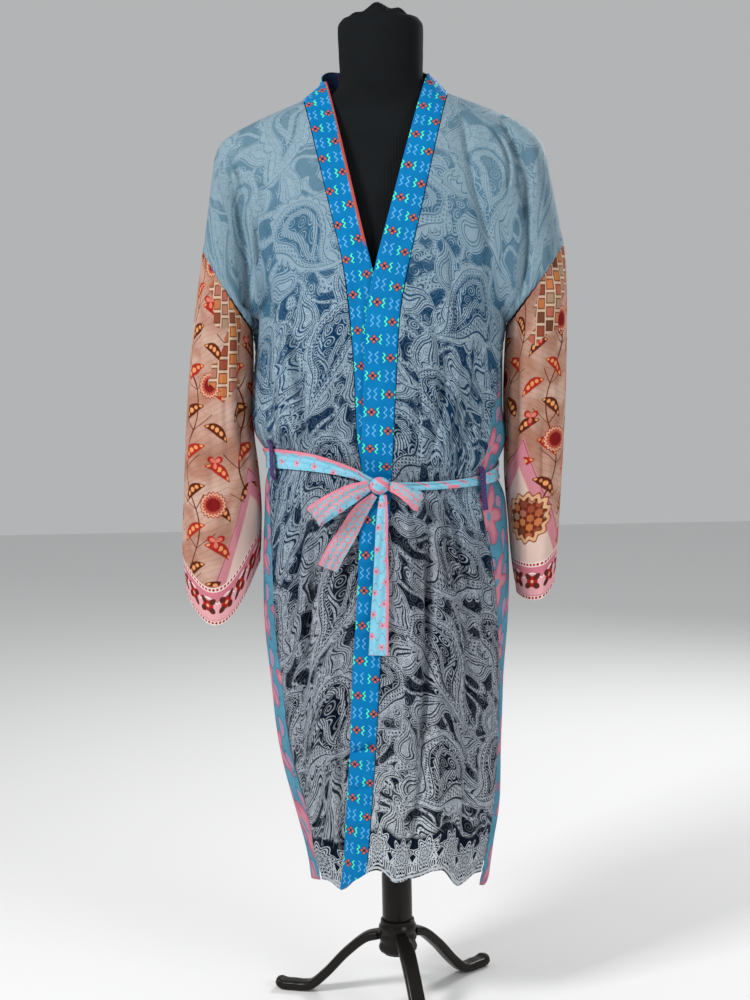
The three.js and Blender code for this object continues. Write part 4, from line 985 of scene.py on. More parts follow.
def stems_and_pods(colour, free, x, y):
    """Wavy stems with twigs, and open pods full of seeds."""
    stem = abs(((x - (y * 0.036).sin() * 13) / 84) % 1 - 0.5) * 84
    twig = abs(((y + stem * 0.9) / 56) % 1 - 0.5) * 56
    colour = colour.coat(free * (stem < 1.1).high((twig < 0.85) * (stem < 24)),
                         0.4, 0.17, 0.08)
    a, b, column, row = cell(x + 20, y, 42, 56)
    p, q = turned(a * (column % 2 * 2 - 1), b, 56)
    pod = abs(p - q * q * 0.016) - (1 - (q / 22.5) * (q / 22.5)) * 7.8
    seed = length(p - q * q * 0.016, ((q + 4.2) % 8.4) - 4.2) - 3.7 + abs(q) * 0.09
    brown = colour.shader.blend(row % 2, rgb(0.36, 0.15, 0.07), rgb(0.66, 0.17, 0.13))
    return colour.coats(
        (free * inside(pod, 0.5), brown),
        (free * inside(pod + 1.3, 0.4) * inside(seed, 0.4), 0.9, 0.6, 0.38))


def leaves_and_flowers(colour, free, x, y):
    """Red leaves in threes and round fringed flowers."""
    a, b, _, _ = cell(x + 47, y + 38, 84, 112)
    leaf = length(a, b) - abs((a.math("ARCTAN2", b) * 1.5).cos()) * 13
    colour = colour.coats(
        (free * inside(leaf, 0.6), 0.66, 0.14, 0.12),
        (free * inside(leaf + 3.6, 0.5) * 0.85, 0.88, 0.5, 0.42))
    a, b, _, _ = cell(x - 12, y + 62, 126, 168)
    flower = petals(a, b, 18, 15.5, 1.1)
    return colour.coats(
        (free * inside(flower - 2.4), 0.87, 0.66, 0.54),
        (free * line(flower - 2, 1), 0.6, 0.25, 0.18),
        (free * inside(flower + 1.4), 0.72, 0.34, 0.27),
        (free * inside(flower + 5.4), 0.5, 0.09, 0.1))


def medallion(colour, x, up):
    """A paved round over the left cuff."""
    a, b, _, _ = cell(x + 30, up + 82, 148, 400, 0)
    medal = petals(a, b, 14, 36, 2.6)
    here = (up > 56) * (up < 170) * (x > LEFT_SLEEVE_SHIFT)
    c, d, column, row = cell(a, b, 12, 13, 0.5)
    tile = petals(c, d, 6, 5.4, 0.5)
    return colour.coats(
        (here * inside(medal), 0.55, 0.25, 0.15),
        (here * inside(medal + 2.2), 0.86, 0.68, 0.52),
        (here * inside(medal + 8), 0.44, 0.18, 0.1),
        (here * inside(medal + 9) * inside(tile), stones(colour.shader, column, row)))


def cuff_border(colour, x, up):
    """Clouds and four-petalled flowers on pink, between two rows of beads."""
    colour = colour.coat(up.step(53, 52), 0.82, 0.48, 0.54)
    cloud = up - 30 - abs((x * (np.pi / 27)).sin()) * 9
    cuff = up.step(47.5, 46.5)
    colour = colour.coats(
        (cuff * inside(cloud, 0.8) * up.step(6, 8), 0.9, 0.66, 0.68),
        (cuff * line(cloud, 1.1), 0.96, 0.9, 0.88))
    a, b, _, _ = cell(x, up, 27, 54, 0)
    dark = petals(*turned(a, b, 45), 4, 9.2, 4.2)
    colour = colour.coats(
        (cuff * inside(dark - 1.2), 0.36, 0.17, 0.13),
        (cuff * inside(petals(a, b, 4, 6, 2.4)), 0.7, 0.14, 0.14),
        (cuff * inside(length(a, b) - 2.2), 0.92, 0.7, 0.56))
    trim = up.step(6, 5.3).high(up.step(54.5, 54) * up.step(47, 47.8))
    colour = colour.coat(trim, 0.93, 0.83, 0.8)
    bead = length(cell(x, up, 5.2, 100, 0)[0], abs(abs(up - 26.9) - 23.9)) < 1.75
    return colour.coat(trim * bead, 0.62, 0.12, 0.15)


def sleeve_silk():
    silk = Silk("sleeve_silk", 0.6)
    x, y, up = silk.x, silk.y, silk.up
    wash, bloom = silk.wash(0.012, 2), silk.wash(0.021, 1, 0.4)
    colour = silk.ramp(wash, (0.3, 0.64, 0.46, 0.39), (0.5, 0.75, 0.59, 0.52),
                       (0.68, 0.8, 0.67, 0.61))
    colour = colour.coats(
        (bloom.step(0.52, 0.64) * 0.7, 0.66, 0.45, 0.36),
        (stripes(x * 0.4 + y + wash * 30, 9, 0.16) * 0.22, 0.5, 0.26, 0.18))
    # a pink point above each cuff, pale inside
    point = (up - 175 + abs(x - 128) * 2.2).low(up - 235 + abs(x - 505) * 2)
    low = up.step(48, 52)
    colour = colour.coats(
        (low * inside(point, 3) * 0.85, 0.82, 0.52, 0.58),
        (low * inside(point + 44, 3), 0.87, 0.76, 0.71),
        (low * line(point + 5, 1.2), 0.55, 0.22, 0.24))
    colour, paved = paving(colour, x, y, (bloom - 0.5) * 130)
    free = (1 - paved) * (up > 56) * (point > -22)
    colour = stems_and_pods(colour, free, x, y)
    colour = leaves_and_flowers(colour, free, x, y)
    colour = cuff_border(medallion(colour, x, up), x, up)
    return silk.lined(colour, 0.8, 0.62, 0.54)


def batik_silk():
    silk = Silk("batik_silk", 0.6)
    x, y = silk.x, silk.y
    wash, warp = silk.wash(0.03, 2), silk.wash(0.014)
    colour = silk.blend(wash, rgb(0.2, 0.46, 0.56), rgb(0.4, 0.66, 0.76))
    a, b, _, _ = cell(x + warp * 40, y + wash * 20, 78, 96)
    flower = petals(a, b, 5, 30, 10) + (wash - 0.5) * 14
    colour = colour.coats(
        (inside(flower, 1.2), 0.75, 0.42, 0.51),
        (inside(flower + 9, 2) * 0.6, 0.83, 0.58, 0.64),
        (inside(length(a, b) - 6), 0.36, 0.6, 0.68),
        (line(flower, 1.2) * 0.8, 0.2, 0.36, 0.44))
    c, d, _, _ = cell(x + 30, y + 40, 39, 48)
    leaf = paisley(c, d, 8, 20, 0.012)
    off = flower > 3
    colour = colour.coats(
        (off * inside(leaf, 0.8) * 0.8, 0.78, 0.52, 0.64),
        (off * line(leaf - 2, 0.9) * 0.7, 0.16, 0.38, 0.46))
    vein = abs((flower / 6) % 1 - 0.5) < 0.08
    colour = colour.coats(
        (off * vein * 0.4, 0.16, 0.4, 0.48),
        (silk.up.step(5, 4) * 0.7, 0.75, 0.45, 0.52))
    return silk.lined(colour, 0.62, 0.72, 0.74)


def belt_silk():
    silk = Silk("belt_silk", 0.58, 0.08)
    x, y, wash = silk.x, silk.y, silk.wash(0.05, 2)
    a, b, _, _ = cell(x + 4, y, 14, 30)
    twig = abs(((y + (x * 0.45).sin() * 5) / 23) % 1 - 0.5) * 23
    blue = silk.blend(wash, rgb(0.42, 0.72, 0.82), rgb(0.6, 0.84, 0.92))
    blue = blue.coats(
        ((twig < 0.55) * 0.7, 0.42, 0.38, 0.36),
        (inside(petals(a, b, 5, 4.2, 1.5)), 0.86, 0.58, 0.66),
        (inside(length(a, b) - 1.2, 0.3), 0.6, 0.3, 0.34))
    c, d, _, _ = cell(x + 2, y, 8, 8.5)
    coral = silk.blend(wash, rgb(0.8, 0.5, 0.54), rgb(0.88, 0.64, 0.66))
    coral = coral.coats(
        (inside(petals(c, d, 4, 3.3, 0.9), 0.4) * 0.85, 0.47, 0.72, 0.8),
        ((twig < 0.5) * 0.6, 0.52, 0.34, 0.34))
    return silk.woven(blue.coat(silk.lining, coral).coat(silk.edge, 0.89, 0.53, 0.6), 0.0004)


def loop_silk():
    silk = Silk("loop_silk", 0.6, 0.1)
    a, b, _, _ = cell(silk.x, silk.y, 5, 7)
    colour = silk.blend(silk.wash(0.12, 2), rgb(0.22, 0.16, 0.36), rgb(0.36, 0.28, 0.48))
    colour = colour.coat(inside(length(a, b) - 0.9, 0.3) * 0.7, 0.55, 0.45, 0.66)
    return silk.woven(colour, 0.0004)


def jersey_knit():
    shader = Shader("jersey_knit", 0.85, specular=0.04)
    vector, x, y, _ = shader.layer("cloth")
    wash = shader.noise(vector, 0.03, 3)
    colour = shader.blend(wash, rgb(0.07, 0.08, 0.088), rgb(0.105, 0.115, 0.122))
    rib = (x * (2 * np.pi / 1.4)).sin()
    loops = (y * (2 * np.pi / 1.1) + rib * 1.5).sin()
    colour = colour.coat((rib * loops).step(-1, 1) * 0.12, 0.2, 0.21, 0.22)
    return shader.finish(colour, rib * 0.4 + loops * 0.3 + wash * 2, 0.0004)


def black_lacquer():
    shader = Shader("black_lacquer", 0.32, specular=0.12, coat=0.08)
    vector, x, y, _ = shader.layer("cloth")
    wear = shader.noise(vector, 0.02, 4)
    grain = shader.noise(shader.vector(x * 0.5, y * 0.03), 1, 2)
    colour = shader.blend(wear, rgb(0.075, 0.068, 0.062), rgb(0.125, 0.112, 0.1))
    colour = colour.coat(grain.step(0.6, 0.8) * 0.35, 0.17, 0.14, 0.12)
    return shader.finish(colour, grain * 0.6 + wear, 0.0002, wear * 0.25 + 0.2)


# ---- Pieces -----------------------------------------------------------------------------

FINISHES = {"paisley": paisley_silk, "band_print": band_silk, "back_print": batik_silk,
            "sleeve_print": sleeve_silk, "belt_print": belt_silk, "loop_print": loop_silk,
            "jersey": jersey_knit, "stand_black": black_lacquer}
finished = {}


def finish_of(slot):
    """Each finish is made once and shared by its pieces."""
    if slot not in finished:
        finished[slot] = FINISHES[slot]()
    return finished[slot]


def front_panel(side, name, settings):
    u, v = grid_of(*PANEL_GRID)
    s, t = mix(SEAM_SHARE, 1 - SEAM_SHARE, 1 - u if side < 0 else u), rows_at(ZONES, v)
    base = front_shape(side, s, t)
    across, down, width = measured(base, side < 0)
    relief = front_relief(side, s, t, base)
    relief = relief + settings.creases * (
        pucker(across, down, 0.7) + pucker(width - across, down, 0.6)
        + ripple(across, down, 0.8) * hanging(t, base))
    cloth = (across + LEFT_FRONT_SHIFT * (side > 0), down, down[-1:] - down)
    return cloth_object(f"front_{name}", raised(base, relief), settings.wall(SILK), cloth,
                        "paisley")


def front_band(side, name, settings):
    u, v = grid_of(*BAND_GRID)
    s, t = -mix(BAND_START, 1, u if side < 0 else 1 - u), rows_at(ZONES, v)
    base = front_shape(side, s, t)
    from_edge, down, width = measured(base, side < 0)
    half = BAND_GRID[0] // 2
    middle = base[:, half]
    off = base - middle[:, None]
    ahead = np.sum(off * unit(np.gradient(middle, axis=0))[:, None], -1)
    beside = np.sqrt(np.maximum(np.sum(off * off, -1) - ahead ** 2, 0)) * np.sign(
        from_edge - from_edge[:, half:half + 1])
    relief = front_relief(side, s, t, base)
    rounding = bell(from_edge / ROUNDING_REACH) + bell((width - from_edge) / ROUNDING_REACH)
    relief = relief - EDGE_ROUNDING * rounding + settings.creases * (
        pucker(width - from_edge, down, 0.5) + ripple(from_edge, down, 0.35))
    rolled = (from_edge < BAND_ROLL) * (1 - ease(0.93, 0.97, t)) if side < 0 else 0 * t
    return cloth_object(f"band_{name}", raised(base, relief), settings.wall(FOLDED_SILK),
                        (beside + BAND_MIDDLE, down[:, half:half + 1] + ahead, 0),
                        "band_print", edge=rolled)


def collar(settings):
    u, v = grid_of(*COLLAR_GRID)
    share, side = np.abs(1 - 2 * u), np.where(u < 0.5, 1, -1)
    seam = np.where((side > 0)[..., None], neck_point(1, COLLAR_SPREAD * share),
                    neck_point(-1, COLLAR_SPREAD * share)) + COLLAR_RIM
    turn = share * np.pi / 2
    end_x, end_y, end_z = (
        np.where(side > 0, getattr(COLLAR_LEFT, k), getattr(COLLAR_RIGHT, k)) for k in "xyz")
    flare = np.where(side < 0, COLLAR_FLARE * np.sin(2 * turn), 0)
    top = points(side * (end_x * np.sin(turn) + flare),
                 mix(end_y + 0.9, COLLAR_BACK_DEPTH, np.cos(turn)),
                 mix(COLLAR_BACK_RISE, end_z, ease(0.45, 1, share)))
    base = top + (seam - top) * (0.97 * v)[..., None]
    along, fall = arc(base, 1), arc(base, 0)
    relief = settings.creases * ripple(along, fall, 0.5) * np.sin(np.pi * v)
    return cloth_object("collar", raised(base, relief), settings.wall(FOLDED_SILK),
                        (fall, along, 0), "band_print")


def back_panel(side, name, settings):
    u, v = grid_of(*PANEL_GRID)
    s = mix(CENTRE_SHARE, 1 - SEAM_SHARE, u if side < 0 else 1 - u)
    t = rows_at(ZONES, v)
    base = back_shape(side, s, t)
    across, down, width = measured(base, side > 0)
    relief = back_relief(side, s, t, base) + settings.creases * (
        pucker(across, down, 0.35) + pucker(width - across, down, 0.6)
        + ripple(side * across, down, 0.8) * hanging(t, base))
    cloth = (BACK_SHIFT + side * across, down, down[-1:] - down)
    return cloth_object(f"back_{name}", raised(base, relief), settings.wall(SILK), cloth,
                        "back_print")


def sleeve(side, name, settings):
    rows = SLEEVE_RIGHT if side < 0 else SLEEVE_LEFT
    u, v = grid_of(*SLEEVE_GRID, looped=True)
    around = (1 - u) % 1 if side < 0 else u
    along = mix(SLEEVE_START, 1, v)
    front = around < 0.5
    t = np.where(front, around * 2, 2 - around * 2)
    depth = np.where(front, -rows.front(along), rows.back(along)) * ARC_HANDLE
    outer_line = points(side * rows.out_x(along), 0, rows.out_z(along))
    inner_line = points(side * rows.in_x(along), -4 * (1 - ease(0, 0.1, along)),
                        rows.in_z(along))
    bulge = points(0, depth, 0)
    base = bezier(outer_line, outer_line + bulge, inner_line + bulge, inner_line, t)
    base[..., 2] -= rows.dip(along) * np.sin(np.pi * t) ** 2 * np.where(front, 1, 0.5)
    swells = sum(height * bell((around - at) / wide) * bell((v - place) / tall)
                 for at, place, height, wide, tall in SLEEVE_SWELLS)
    across, down, _ = measured(base, side < 0)
    relief = -swells * ease(0, 0.08, v) + settings.creases * (
        pucker(down, across, 0.6) + pucker(down[-1:] - down, across, 0.5, 9, 7)
        + ripple(across, down, 0.9) * ease(0, 0.1, v) * np.sin(np.pi * u))
    inward = normals(base, looped=True)   # so a relief below nought stands out
    outer = base + inward * relief[..., None]
    tucked = outer[:1] + unit(outer[:1] - outer[3:4]) * SEAM_TUCK + inward[:1] * SEAM_UNDER
    outer = np.concatenate([tucked, outer])
    across, up = (np.concatenate([part[:1], part]) for part in (across, down[-1:] - down))
    return cloth_object(f"sleeve_{name}", outer, settings.wall(SILK),
                        (across + LEFT_SLEEVE_SHIFT * (side > 0),
                         SLEEVE_TOP - outer[..., 2], up),
                        "sleeve_print", looped=True, faces_in=True)


def belt_ring(settings):
    u, v = grid_of(*BELT_GRID, looped=True)
    angle = -180 + 360 * u
    width = BELT.width(angle)
    spot, out = skin(angle, BELT.z(angle) + (0.5 - v) * width)
    out[..., 2] = 0
    fold = 0.55 * np.sin(2 * np.pi * v * width / 8 + angle / 19) * np.sin(np.pi * v)
    fold = fold - 0.7 * (bell(v * width / 1.4) + bell((1 - v) * width / 1.4))
    outer = spot + unit(out) * (BELT_LIFT + settings.creases * fold)[..., None]
    edge = ((v * width < BELT_ROLL) * (angle < ROLL_END)
            + (v > TWIST_SHARE) * (angle > TWIST[0]) * (angle < TWIST[1]))
    return cloth_object("belt", outer, settings.wall(BELT_SILK), (v * width, arc(outer, 1), 0),
                        "belt_print", looped=True, edge=edge)


BELT_LOOPS = (("belt_loop_right", -64, 832, 776, 2.0), ("belt_loop_left", 53, 790, 730, 1.4))
LOOP_WIDTH, LOOP_WALL, LOOP_CLEAR = 11, 1.4, 6.4


def belt_carrier(name, angle, top, bottom, seat, settings):
    """A narrow loop that is sewn to the robe at both ends and passes over the belt."""
    spot, out = skin(angle, BELT.z(angle))
    out = unit(out * (1, 1, 0))
    face = spot + out * (BELT_LIFT + LOOP_CLEAR)
    wide = (np.cos(np.radians(angle)), np.sin(np.radians(angle)), 0)
    rows = []
    for share in (0, 0.12, 0.3, 0.5, 0.7, 0.88, 1):
        place, _ = skin(angle, mix(top, bottom, share))
        lift = max(seat, float(np.dot(face - place, out))) if share % 1 else seat
        rows.append((*(place + out * lift), LOOP_WIDTH, *wide))
    return strap(name, rows, 60, 8, settings.wall(LOOP_WALL), "loop_print", settings, 0.3)


KNOT = SimpleNamespace(x=-13, z=771, wide=14, deep=10, high=12)


def belt_face():
    """Where the belt's outer face lies behind the knot."""
    spot, _ = skin(angle_at(KNOT.x, KNOT.z), KNOT.z)
    return float(spot[1]) - BELT_LIFT


def strap(name, rows, steps, across, wall, slot, settings, fold, hem=0, faces_in=False):
    """A ribbon along a path; each row has its middle, width and wide direction.

    hem is the width of its contrasting edge, below nought on the far side.
    """
    rows = np.array(rows, float)
    t = np.linspace(0, 1, steps + 1)
    path = spline(rows[:, :3], t)
    tangent = unit(np.gradient(path, axis=0))
    keys = np.linspace(0, 1, len(rows))
    line = table("t width x y z", *np.column_stack([keys, rows[:, 3:]]))
    wide = points(line.x(t), line.y(t), line.z(t))
    wide = unit(wide - tangent * np.sum(wide * tangent, -1, keepdims=True))
    thick = unit(np.cross(tangent, wide))
    v = np.linspace(-0.5, 0.5, across + 1)
    width = line.width(t)[:, None]
    along = arc(path[:, None, :], 0)
    shape = fold * settings.creases * (
        np.cos(2 * np.pi * v * width / 11 + along / 23) * np.cos(np.pi * v) ** 0.5
        + 0.5 * np.sin(along / 6.5 + v * 9) * np.sin(np.pi * t)[:, None])
    grid = (path[:, None] + wide[:, None] * (width * v)[..., None]
            + thick[:, None] * shape[..., None])
    from_edge = (v + 0.5) * width
    edge = from_edge < hem if hem >= 0 else from_edge > width + hem
    return cloth_object(name, grid, wall, (from_edge, along, 0), slot, centred=True,
                        edge=edge, faces_in=faces_in)


def bow(settings):
    face = belt_face()

    def before(x, out, z, *rest):
        return (x, face - out, z, *rest)

    def on_skirt(x, z, out, *rest):
        spot, _ = skin(angle_at(x, z), z)
        return (x, float(spot[1]) - out, z, *rest)

    ribbons = {
        "bow_loop_right": (26, (
            before(-27.8, 12, 771, 15, -0.35, 0, 1), before(-52, 22, 765, 19, -0.5, 0, 1),
            before(-80, 27, 750, 24, -0.6, 0.1, 1), before(-102, 21, 733, 28, -0.7, 0, 1),
            before(-100, 9, 730, 27, -0.7, 0, 1), before(-74, 5.5, 743, 22, -0.6, 0, 1),
            before(-48, 5, 757, 17, -0.5, 0, 1), before(-29.5, 5.5, 767, 12, -0.35, 0, 1))),
        "bow_loop_left": (24, (
            before(1.4, 12, 770.5, 13, 0.4, 0, 1), before(16, 19, 764, 17, 0.5, -0.2, 1),
            before(30, 23, 754, 20, 0.5, -0.4, 1), before(40, 18, 746, 22, 0.3, -0.6, 1),
            before(41, 9, 750, 22, 0.3, -0.5, 1), before(26, 5.5, 760, 18, 0.4, -0.1, 1),
            before(12, 5.5, 766, 14, 0.4, 0, 1), before(3, 6.5, 768, 11, 0.4, 0, 1))),
        "bow_tail_right": (10, (
            before(-20, 9, 758.4, 9, 1, 0, 0.4), on_skirt(-40, 736, 6, 21, 1, 0, 0.35),
            on_skirt(-58, 706, 6, 26, 1, 0, 0.3), on_skirt(-75, 680, 8, 28, 1, 0, 0.2),
            on_skirt(-86, 658, 9, 28, 1, 0, 0.1))),
        "bow_tail_left": (16, (
            before(-8, 11, 759, 9, 1, 0, 0), on_skirt(-10, 730, 9, 15, 1, 0.1, 0),
            on_skirt(-12, 690, 8, 18, 1, 0.15, 0), on_skirt(-14, 630, 7, 22, 1, 0.1, 0),
            on_skirt(-17, 580, 7, 25, 1, 0, 0), on_skirt(-19, 538, 7, 27, 1, 0, 0))),
    }
    near = ("bow_loop_left", "bow_tail_right")   # the coral side faces the skirt on these
    return [strap(name, rows, steps * 6, 14, settings.wall(BOW_SILK), "belt_print", settings,
                  0.7, HEM_ROLL if name in near else -HEM_ROLL, name in near)
            for name, (steps, rows) in ribbons.items()]


def belt_knot(settings):
    middle = belt_face() - KNOT.deep - KNOT_SEAT
    sides, rows = 48, 36
    turn, up = np.meshgrid(np.linspace(0, 2 * np.pi, sides + 1)[:-1],
                           np.linspace(-np.pi / 2, np.pi / 2, rows + 1)[1:-1])
    lump = (1 + 0.05 * np.sin(3 * turn + 2 * up) - 0.06 * np.sin(up) ** 2
            - settings.creases * 0.14 * bell(np.sin(1.5 * turn + 2.6 * up) / 0.35))
    loops = points(KNOT.x + KNOT.wide * np.cos(up) * np.cos(turn) * lump,
                   middle + KNOT.deep * np.cos(up) * np.sin(turn) * lump,
                   KNOT.z + KNOT.high * np.sin(up))
    cloth = np.stack([up * 14, turn * 12, 0 * up], -1)
    striped = np.stack([0 * up, 1.0 * (np.sin(2.5 * turn + 3.2 * up) > 0.2), 0 * up], -1)
    return loft_object("knot", loops, "belt_print", cloth, striped)


def form_body():
    foot, rim = FORM.rows[0, 0], FORM.rows[-1, 0]
    heights = np.unique(np.concatenate([FORM.rows[:, 0], np.linspace(foot, rim, 150)]))
    turn, z = np.meshgrid(np.linspace(0, 2 * np.pi, 97)[:-1], heights)
    depth = np.where(np.sin(turn) < 0, FORM.front(z), FORM.back(z))
    tuck = 0.7 * (z < 1300) + 3 * bell((z - foot) / 5) + 1.5 * bell((z - rim) / 3)
    loops = points((FORM.wide(z) - tuck) * np.cos(turn), (depth - tuck) * np.sin(turn), z)
    return loft_object("form_body", loops, "jersey", points(turn * 60, z, 0))


def cover_knot(settings):
    rim = FORM.rows[-1]
    turn, share = np.meshgrid(np.linspace(0, 2 * np.pi, 97)[:-1], np.linspace(0, 1, 41))
    radius = (rim[1] - 8) * (1 - share * 0.94)
    x, y = radius * np.cos(turn), radius * np.sin(turn) * 0.6
    rise = sum(lift * bell(np.hypot(x - cx, y - cy) / size)
               for cx, cy, size, lift in COVER_KNOT)
    folds = 0.9 * np.cos(17 * turn + 3 * np.sin(share * 5)) * np.sin(np.pi * share) ** 0.7
    z = rim[0] + 0.3 + 2 * share + np.where(share > 0, rise + folds * settings.creases, 0)
    return loft_object("form_cover_knot", points(x, y, z), "jersey",
                       points(turn * 20, share * 50, 0))


def turned_object(name, profile, sides=72):
    """A ring turned from a closed profile of radii and heights."""
    profile = np.array(profile, float)
    turn, place = np.meshgrid(np.linspace(0, 2 * np.pi, sides + 1)[:-1],
                              np.arange(len(profile)))
    radius, z = profile[place, 0], profile[place, 1]
    loops = points(radius * np.cos(turn), radius * np.sin(turn), z)
    count = len(profile)
    i, j = np.meshgrid(np.arange(sides), np.arange(count))
    n, m = (i + 1) % sides, (j + 1) % count
    faces = np.stack([j * sides + i, j * sides + n, m * sides + n, m * sides + i], -1)
    cloth = points(turn * 25, z, 0).reshape(-1, 3)
    return new_object(name, loops.reshape(-1, 3), faces.reshape(-1, 4).tolist(),
                      "stand_black", cloth=cloth, side=0 * cloth)


HUB_PROFILE = ((22.3, 74), (26, 74), (27.6, 76), (28.4, 80), (27, 84), (25.8, 87), (26.4, 90),
               (27.8, 93), (28.1, 95.5), (27.4, 98), (26, 100.5), (26, 104), (27, 106.5),
               (28, 109), (27.4, 112), (25.6, 114.5), (25, 118), (24.6, 121), (22.3, 122))
POLE_PROFILE = ((0.4, 70), (21, 70), (22, 71.5), (22, 300), (22, 619.2), (0.4, 619.2))
LEG_ROWS = ((29, 96, 24, 14), (48, 90, 24, 14), (80, 64, 23, 14), (112, 30, 23, 14),
            (136, 10, 24, 14), (150, 7.2, 24, 14), (164, 7.2, 24.5, 14.4), (178, 7.2, 25, 14.4),
            (187, 10.6, 22, 13), (191, 12, 12, 9))
LEG_ANGLES = (-76, 44, 164)
LEG_SQUARE = 0.55         # 1 for an oval section, nearer 0 for a square one


def leg(angle, name):
    rows = np.array(LEG_ROWS, float)
    t = np.linspace(0, 1, 91)
    keys = np.linspace(0, 1, len(rows))
    reach, z = spline(rows[:, :2], t).T
    size = table("t wide thick", *np.column_stack([keys, rows[:, 2:]]))
    out = np.array((np.cos(np.radians(angle)), np.sin(np.radians(angle)), 0))
    side = np.array((-out[1], out[0], 0))
    path = out * reach[:, None] + np.array((0, 0, 1)) * z[:, None]
    tangent = unit(np.gradient(path, axis=0))
    up = np.cross(tangent, side)
    turn = np.linspace(0, 2 * np.pi, 41)[:-1]
    cosine, sine = np.cos(turn), np.sin(turn)
    a = np.sign(cosine) * np.abs(cosine) ** LEG_SQUARE * size.wide(t)[:, None] / 2
    b = np.sign(sine) * np.abs(sine) ** LEG_SQUARE * size.thick(t)[:, None] / 2
    loops = path[:, None] + side * a[..., None] + up[:, None] * b[..., None]
    loops[..., 2] = np.maximum(loops[..., 2], 0)
    return loft_object(name, loops, "stand_black", points(turn * 10, t[:, None] * 200, 0))


# ---- Operators --------------------------------------------------------------------------

class RobeSettings(bpy.types.PropertyGroup):
    thickness: bpy.props.FloatProperty(
        name="Cloth thickness", description="Thickness of every cloth, as a share of its own",
        default=1.0, min=0.6, max=2.0, subtype="FACTOR")
    creases: bpy.props.FloatProperty(
        name="Fine creases", description="Strength of puckers, ripples and small folds",
        default=1.0, min=0.0, max=1.5, subtype="FACTOR")

    def wall(self, millimetres):
        return millimetres * self.thickness


class StudioSettings(bpy.types.PropertyGroup):
    floor_colour: bpy.props.FloatVectorProperty(
        name="Floor", description="Colour of the studio floor", subtype="COLOR", size=4,
        default=(0.80, 0.80, 0.80, 1.0), min=0.0, max=1.0)
    light_colour: bpy.props.FloatVectorProperty(
        name="Room light", description="Colour of the light all round", subtype="COLOR", size=4,
        default=(0.98, 0.99, 1.0, 1.0), min=0.0, max=1.0)
    room_light: bpy.props.FloatProperty(
        name="Room light strength", description="Strength of the light all round",
        default=0.46, min=0.0, max=3.0)
    key_power: bpy.props.FloatProperty(
        name="Key light", description="Power of the large lamp in front", default=78.0,
        min=0.0, unit="POWER")
    distance: bpy.props.FloatProperty(
        name="Camera distance", description="From the pole to the camera", default=2.3,
        min=0.5, unit="LENGTH")
    height: bpy.props.FloatProperty(
        name="Camera height", description="Above the floor", default=0.93, min=0.0,
        unit="LENGTH")


class ROBE_OT_fronts(bpy.types.Operator):
    """Add the two printed front panels"""
    bl_idname = "robe.fronts"
    bl_label = "Fronts"

    def execute(self, context):
        for side, name in SIDES:
            front_panel(side, name, context.scene.robe)
        return {"FINISHED"}


class ROBE_OT_bands(bpy.types.Operator):
    """Add the folded front bands and the collar"""
    bl_idname = "robe.bands"
    bl_label = "Bands and collar"

    def execute(self, context):
        for side, name in SIDES:
            front_band(side, name, context.scene.robe)
        collar(context.scene.robe)
        return {"FINISHED"}


class ROBE_OT_back(bpy.types.Operator):
    """Add the two halves of the back"""
    bl_idname = "robe.back"
    bl_label = "Back"

    def execute(self, context):
        for side, name in SIDES:
            back_panel(side, name, context.scene.robe)
        return {"FINISHED"}


class ROBE_OT_sleeves(bpy.types.Operator):
    """Add the two sleeves"""
    bl_idname = "robe.sleeves"
    bl_label = "Sleeves"

    def execute(self, context):
        for side, name in SIDES:
            sleeve(side, name, context.scene.robe)
        return {"FINISHED"}


class ROBE_OT_belt(bpy.types.Operator):
    """Add the belt and its two carriers"""
    bl_idname = "robe.belt"
    bl_label = "Belt"

    def execute(self, context):
        belt_ring(context.scene.robe)
        for row in BELT_LOOPS:
            belt_carrier(*row, context.scene.robe)
        return {"FINISHED"}


class ROBE_OT_bow(bpy.types.Operator):
    """Add the knot, the two loops and the two tails of the bow"""
    bl_idname = "robe.bow"
    bl_label = "Bow"

    def execute(self, context):
        belt_knot(context.scene.robe)
        for made in bow(context.scene.robe):
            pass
        return {"FINISHED"}


class ROBE_OT_form(bpy.types.Operator):
    """Add the dress form and the gathered top of its cover"""
    bl_idname = "robe.form"
    bl_label = "Dress form"

    def execute(self, context):
        form_body()
        cover_knot(context.scene.robe)
        return {"FINISHED"}


class ROBE_OT_stand(bpy.types.Operator):
    """Add the pole, the ringed hub and the three legs"""
    bl_idname = "robe.stand"
    bl_label = "Stand"

    def execute(self, context):
        turned_object("stand_pole", POLE_PROFILE)
        turned_object("stand_hub", HUB_PROFILE)
        for number, angle in enumerate(LEG_ANGLES, 1):
            leg(angle, f"stand_leg_{number}")
        return {"FINISHED"}


LAMPS = (("key_light", (-2.0, -1.7, 2.5), 0.7, 1), ("fill_light", (1.9, -2.0, 1.5), 1.0, 0.3),
         ("rim_light", (1.2, 2.1, 2.2), 1.0, 0.5))   # place, size, share of the key's power
LAMP_AIM = 0.85
FLOOR_SIZE = 14
LENS, SENSOR, SHIFT = 57.6, 36, -0.01444
TILT, ROLL = -4.724, -1.1


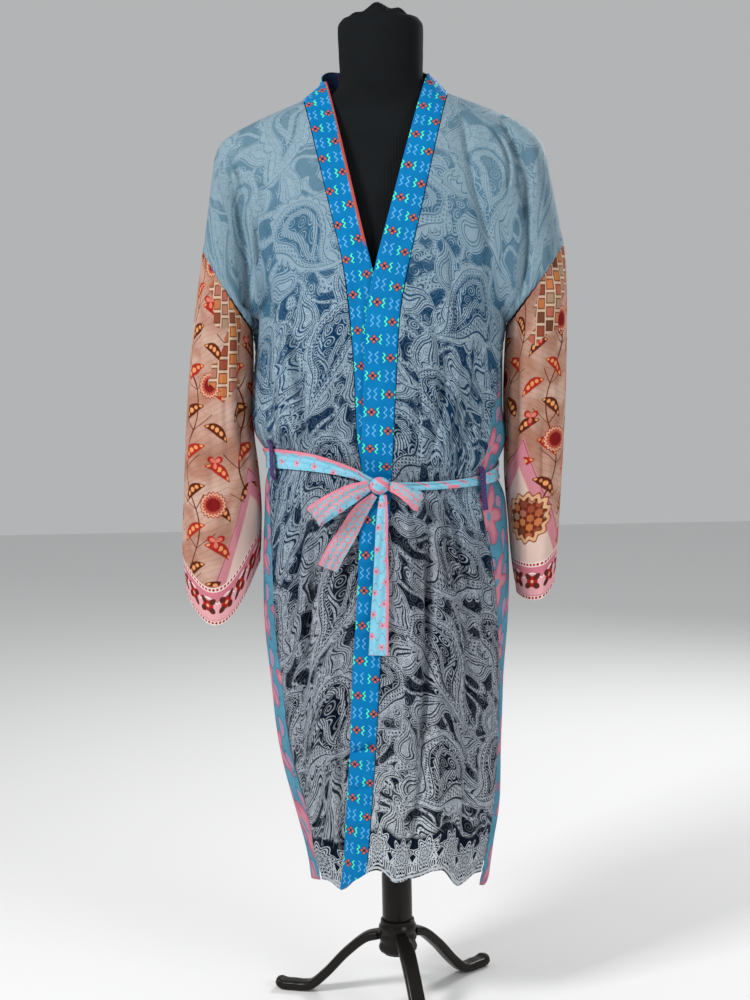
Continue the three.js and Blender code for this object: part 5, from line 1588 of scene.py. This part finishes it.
class ROBE_OT_stage(bpy.types.Operator):
    """Add the floor, the lights and the camera"""
    bl_idname = "robe.stage"
    bl_label = "Studio"

    def execute(self, context):
        studio = context.scene.studio
        bpy.ops.mesh.primitive_plane_add(size=FLOOR_SIZE, location=(0, 0, 0))
        floor = context.object
        floor.name = "studio_floor"
        shader = Shader("studio_floor", 0.9)
        shader.principled.inputs["Base Color"].default_value = studio.floor_colour
        floor.data.materials.append(shader.material)
        world = bpy.data.worlds.new("studio_air")
        world.use_nodes = True
        air = world.node_tree.nodes["Background"]
        air.inputs["Color"].default_value = studio.light_colour
        air.inputs["Strength"].default_value = studio.room_light
        context.scene.world = world
        axis = Vector(AXIS * MM)
        for name, place, size, share in LAMPS:
            light = bpy.data.lights.new(name, "AREA")
            light.size, light.energy = size, studio.key_power * share
            lamp = bpy.data.objects.new(name, light)
            context.scene.collection.objects.link(lamp)
            lamp.location = axis + Vector(place)
            aim = axis + Vector((0, 0, LAMP_AIM)) - lamp.location
            lamp.rotation_euler = aim.to_track_quat("-Z", "Y").to_euler()
        camera = bpy.data.cameras.new("studio_camera")
        camera.lens, camera.sensor_width, camera.shift_x = LENS, SENSOR, SHIFT
        view = bpy.data.objects.new("studio_camera", camera)
        context.scene.collection.objects.link(view)
        view.location = axis + Vector((0, -studio.distance, studio.height))
        tilt, roll = np.radians((90 + TILT, ROLL))
        view.rotation_mode = "QUATERNION"
        view.rotation_quaternion = Quaternion((1, 0, 0), tilt) @ Quaternion((0, 0, 1), roll)
        context.scene.camera = view
        context.scene.view_settings.view_transform = "Standard"
        return {"FINISHED"}


class ROBE_PT_panel(bpy.types.Panel):
    """Lists the pieces of the robe on its dress form"""
    bl_idname = "ROBE_PT_panel"
    bl_label = "Robe on a dress form"
    bl_space_type = "VIEW_3D"
    bl_region_type = "UI"
    bl_category = "Robe"

    def draw(self, context):
        layout = self.layout
        for group in (context.scene.robe, context.scene.studio):
            box = layout.box()
            for key in group.__annotations__:
                box.prop(group, key)
        for operator in OPERATORS:
            layout.operator(operator.bl_idname)


OPERATORS = (ROBE_OT_fronts, ROBE_OT_bands, ROBE_OT_back, ROBE_OT_sleeves, ROBE_OT_belt,
             ROBE_OT_bow, ROBE_OT_form, ROBE_OT_stand, ROBE_OT_stage)
CLASSES = (RobeSettings, StudioSettings, *OPERATORS, ROBE_PT_panel)


def register():
    for made in CLASSES:
        bpy.utils.register_class(made)
    bpy.types.Scene.robe = bpy.props.PointerProperty(type=RobeSettings)
    bpy.types.Scene.studio = bpy.props.PointerProperty(type=StudioSettings)


def unregister():
    del bpy.types.Scene.studio
    del bpy.types.Scene.robe
    for made in reversed(CLASSES):
        bpy.utils.unregister_class(made)


def main():
    register()
    for operator in OPERATORS:
        module, name = operator.bl_idname.split(".")
        getattr(getattr(bpy.ops, module), name)()


if __name__ == "__main__":
    main()
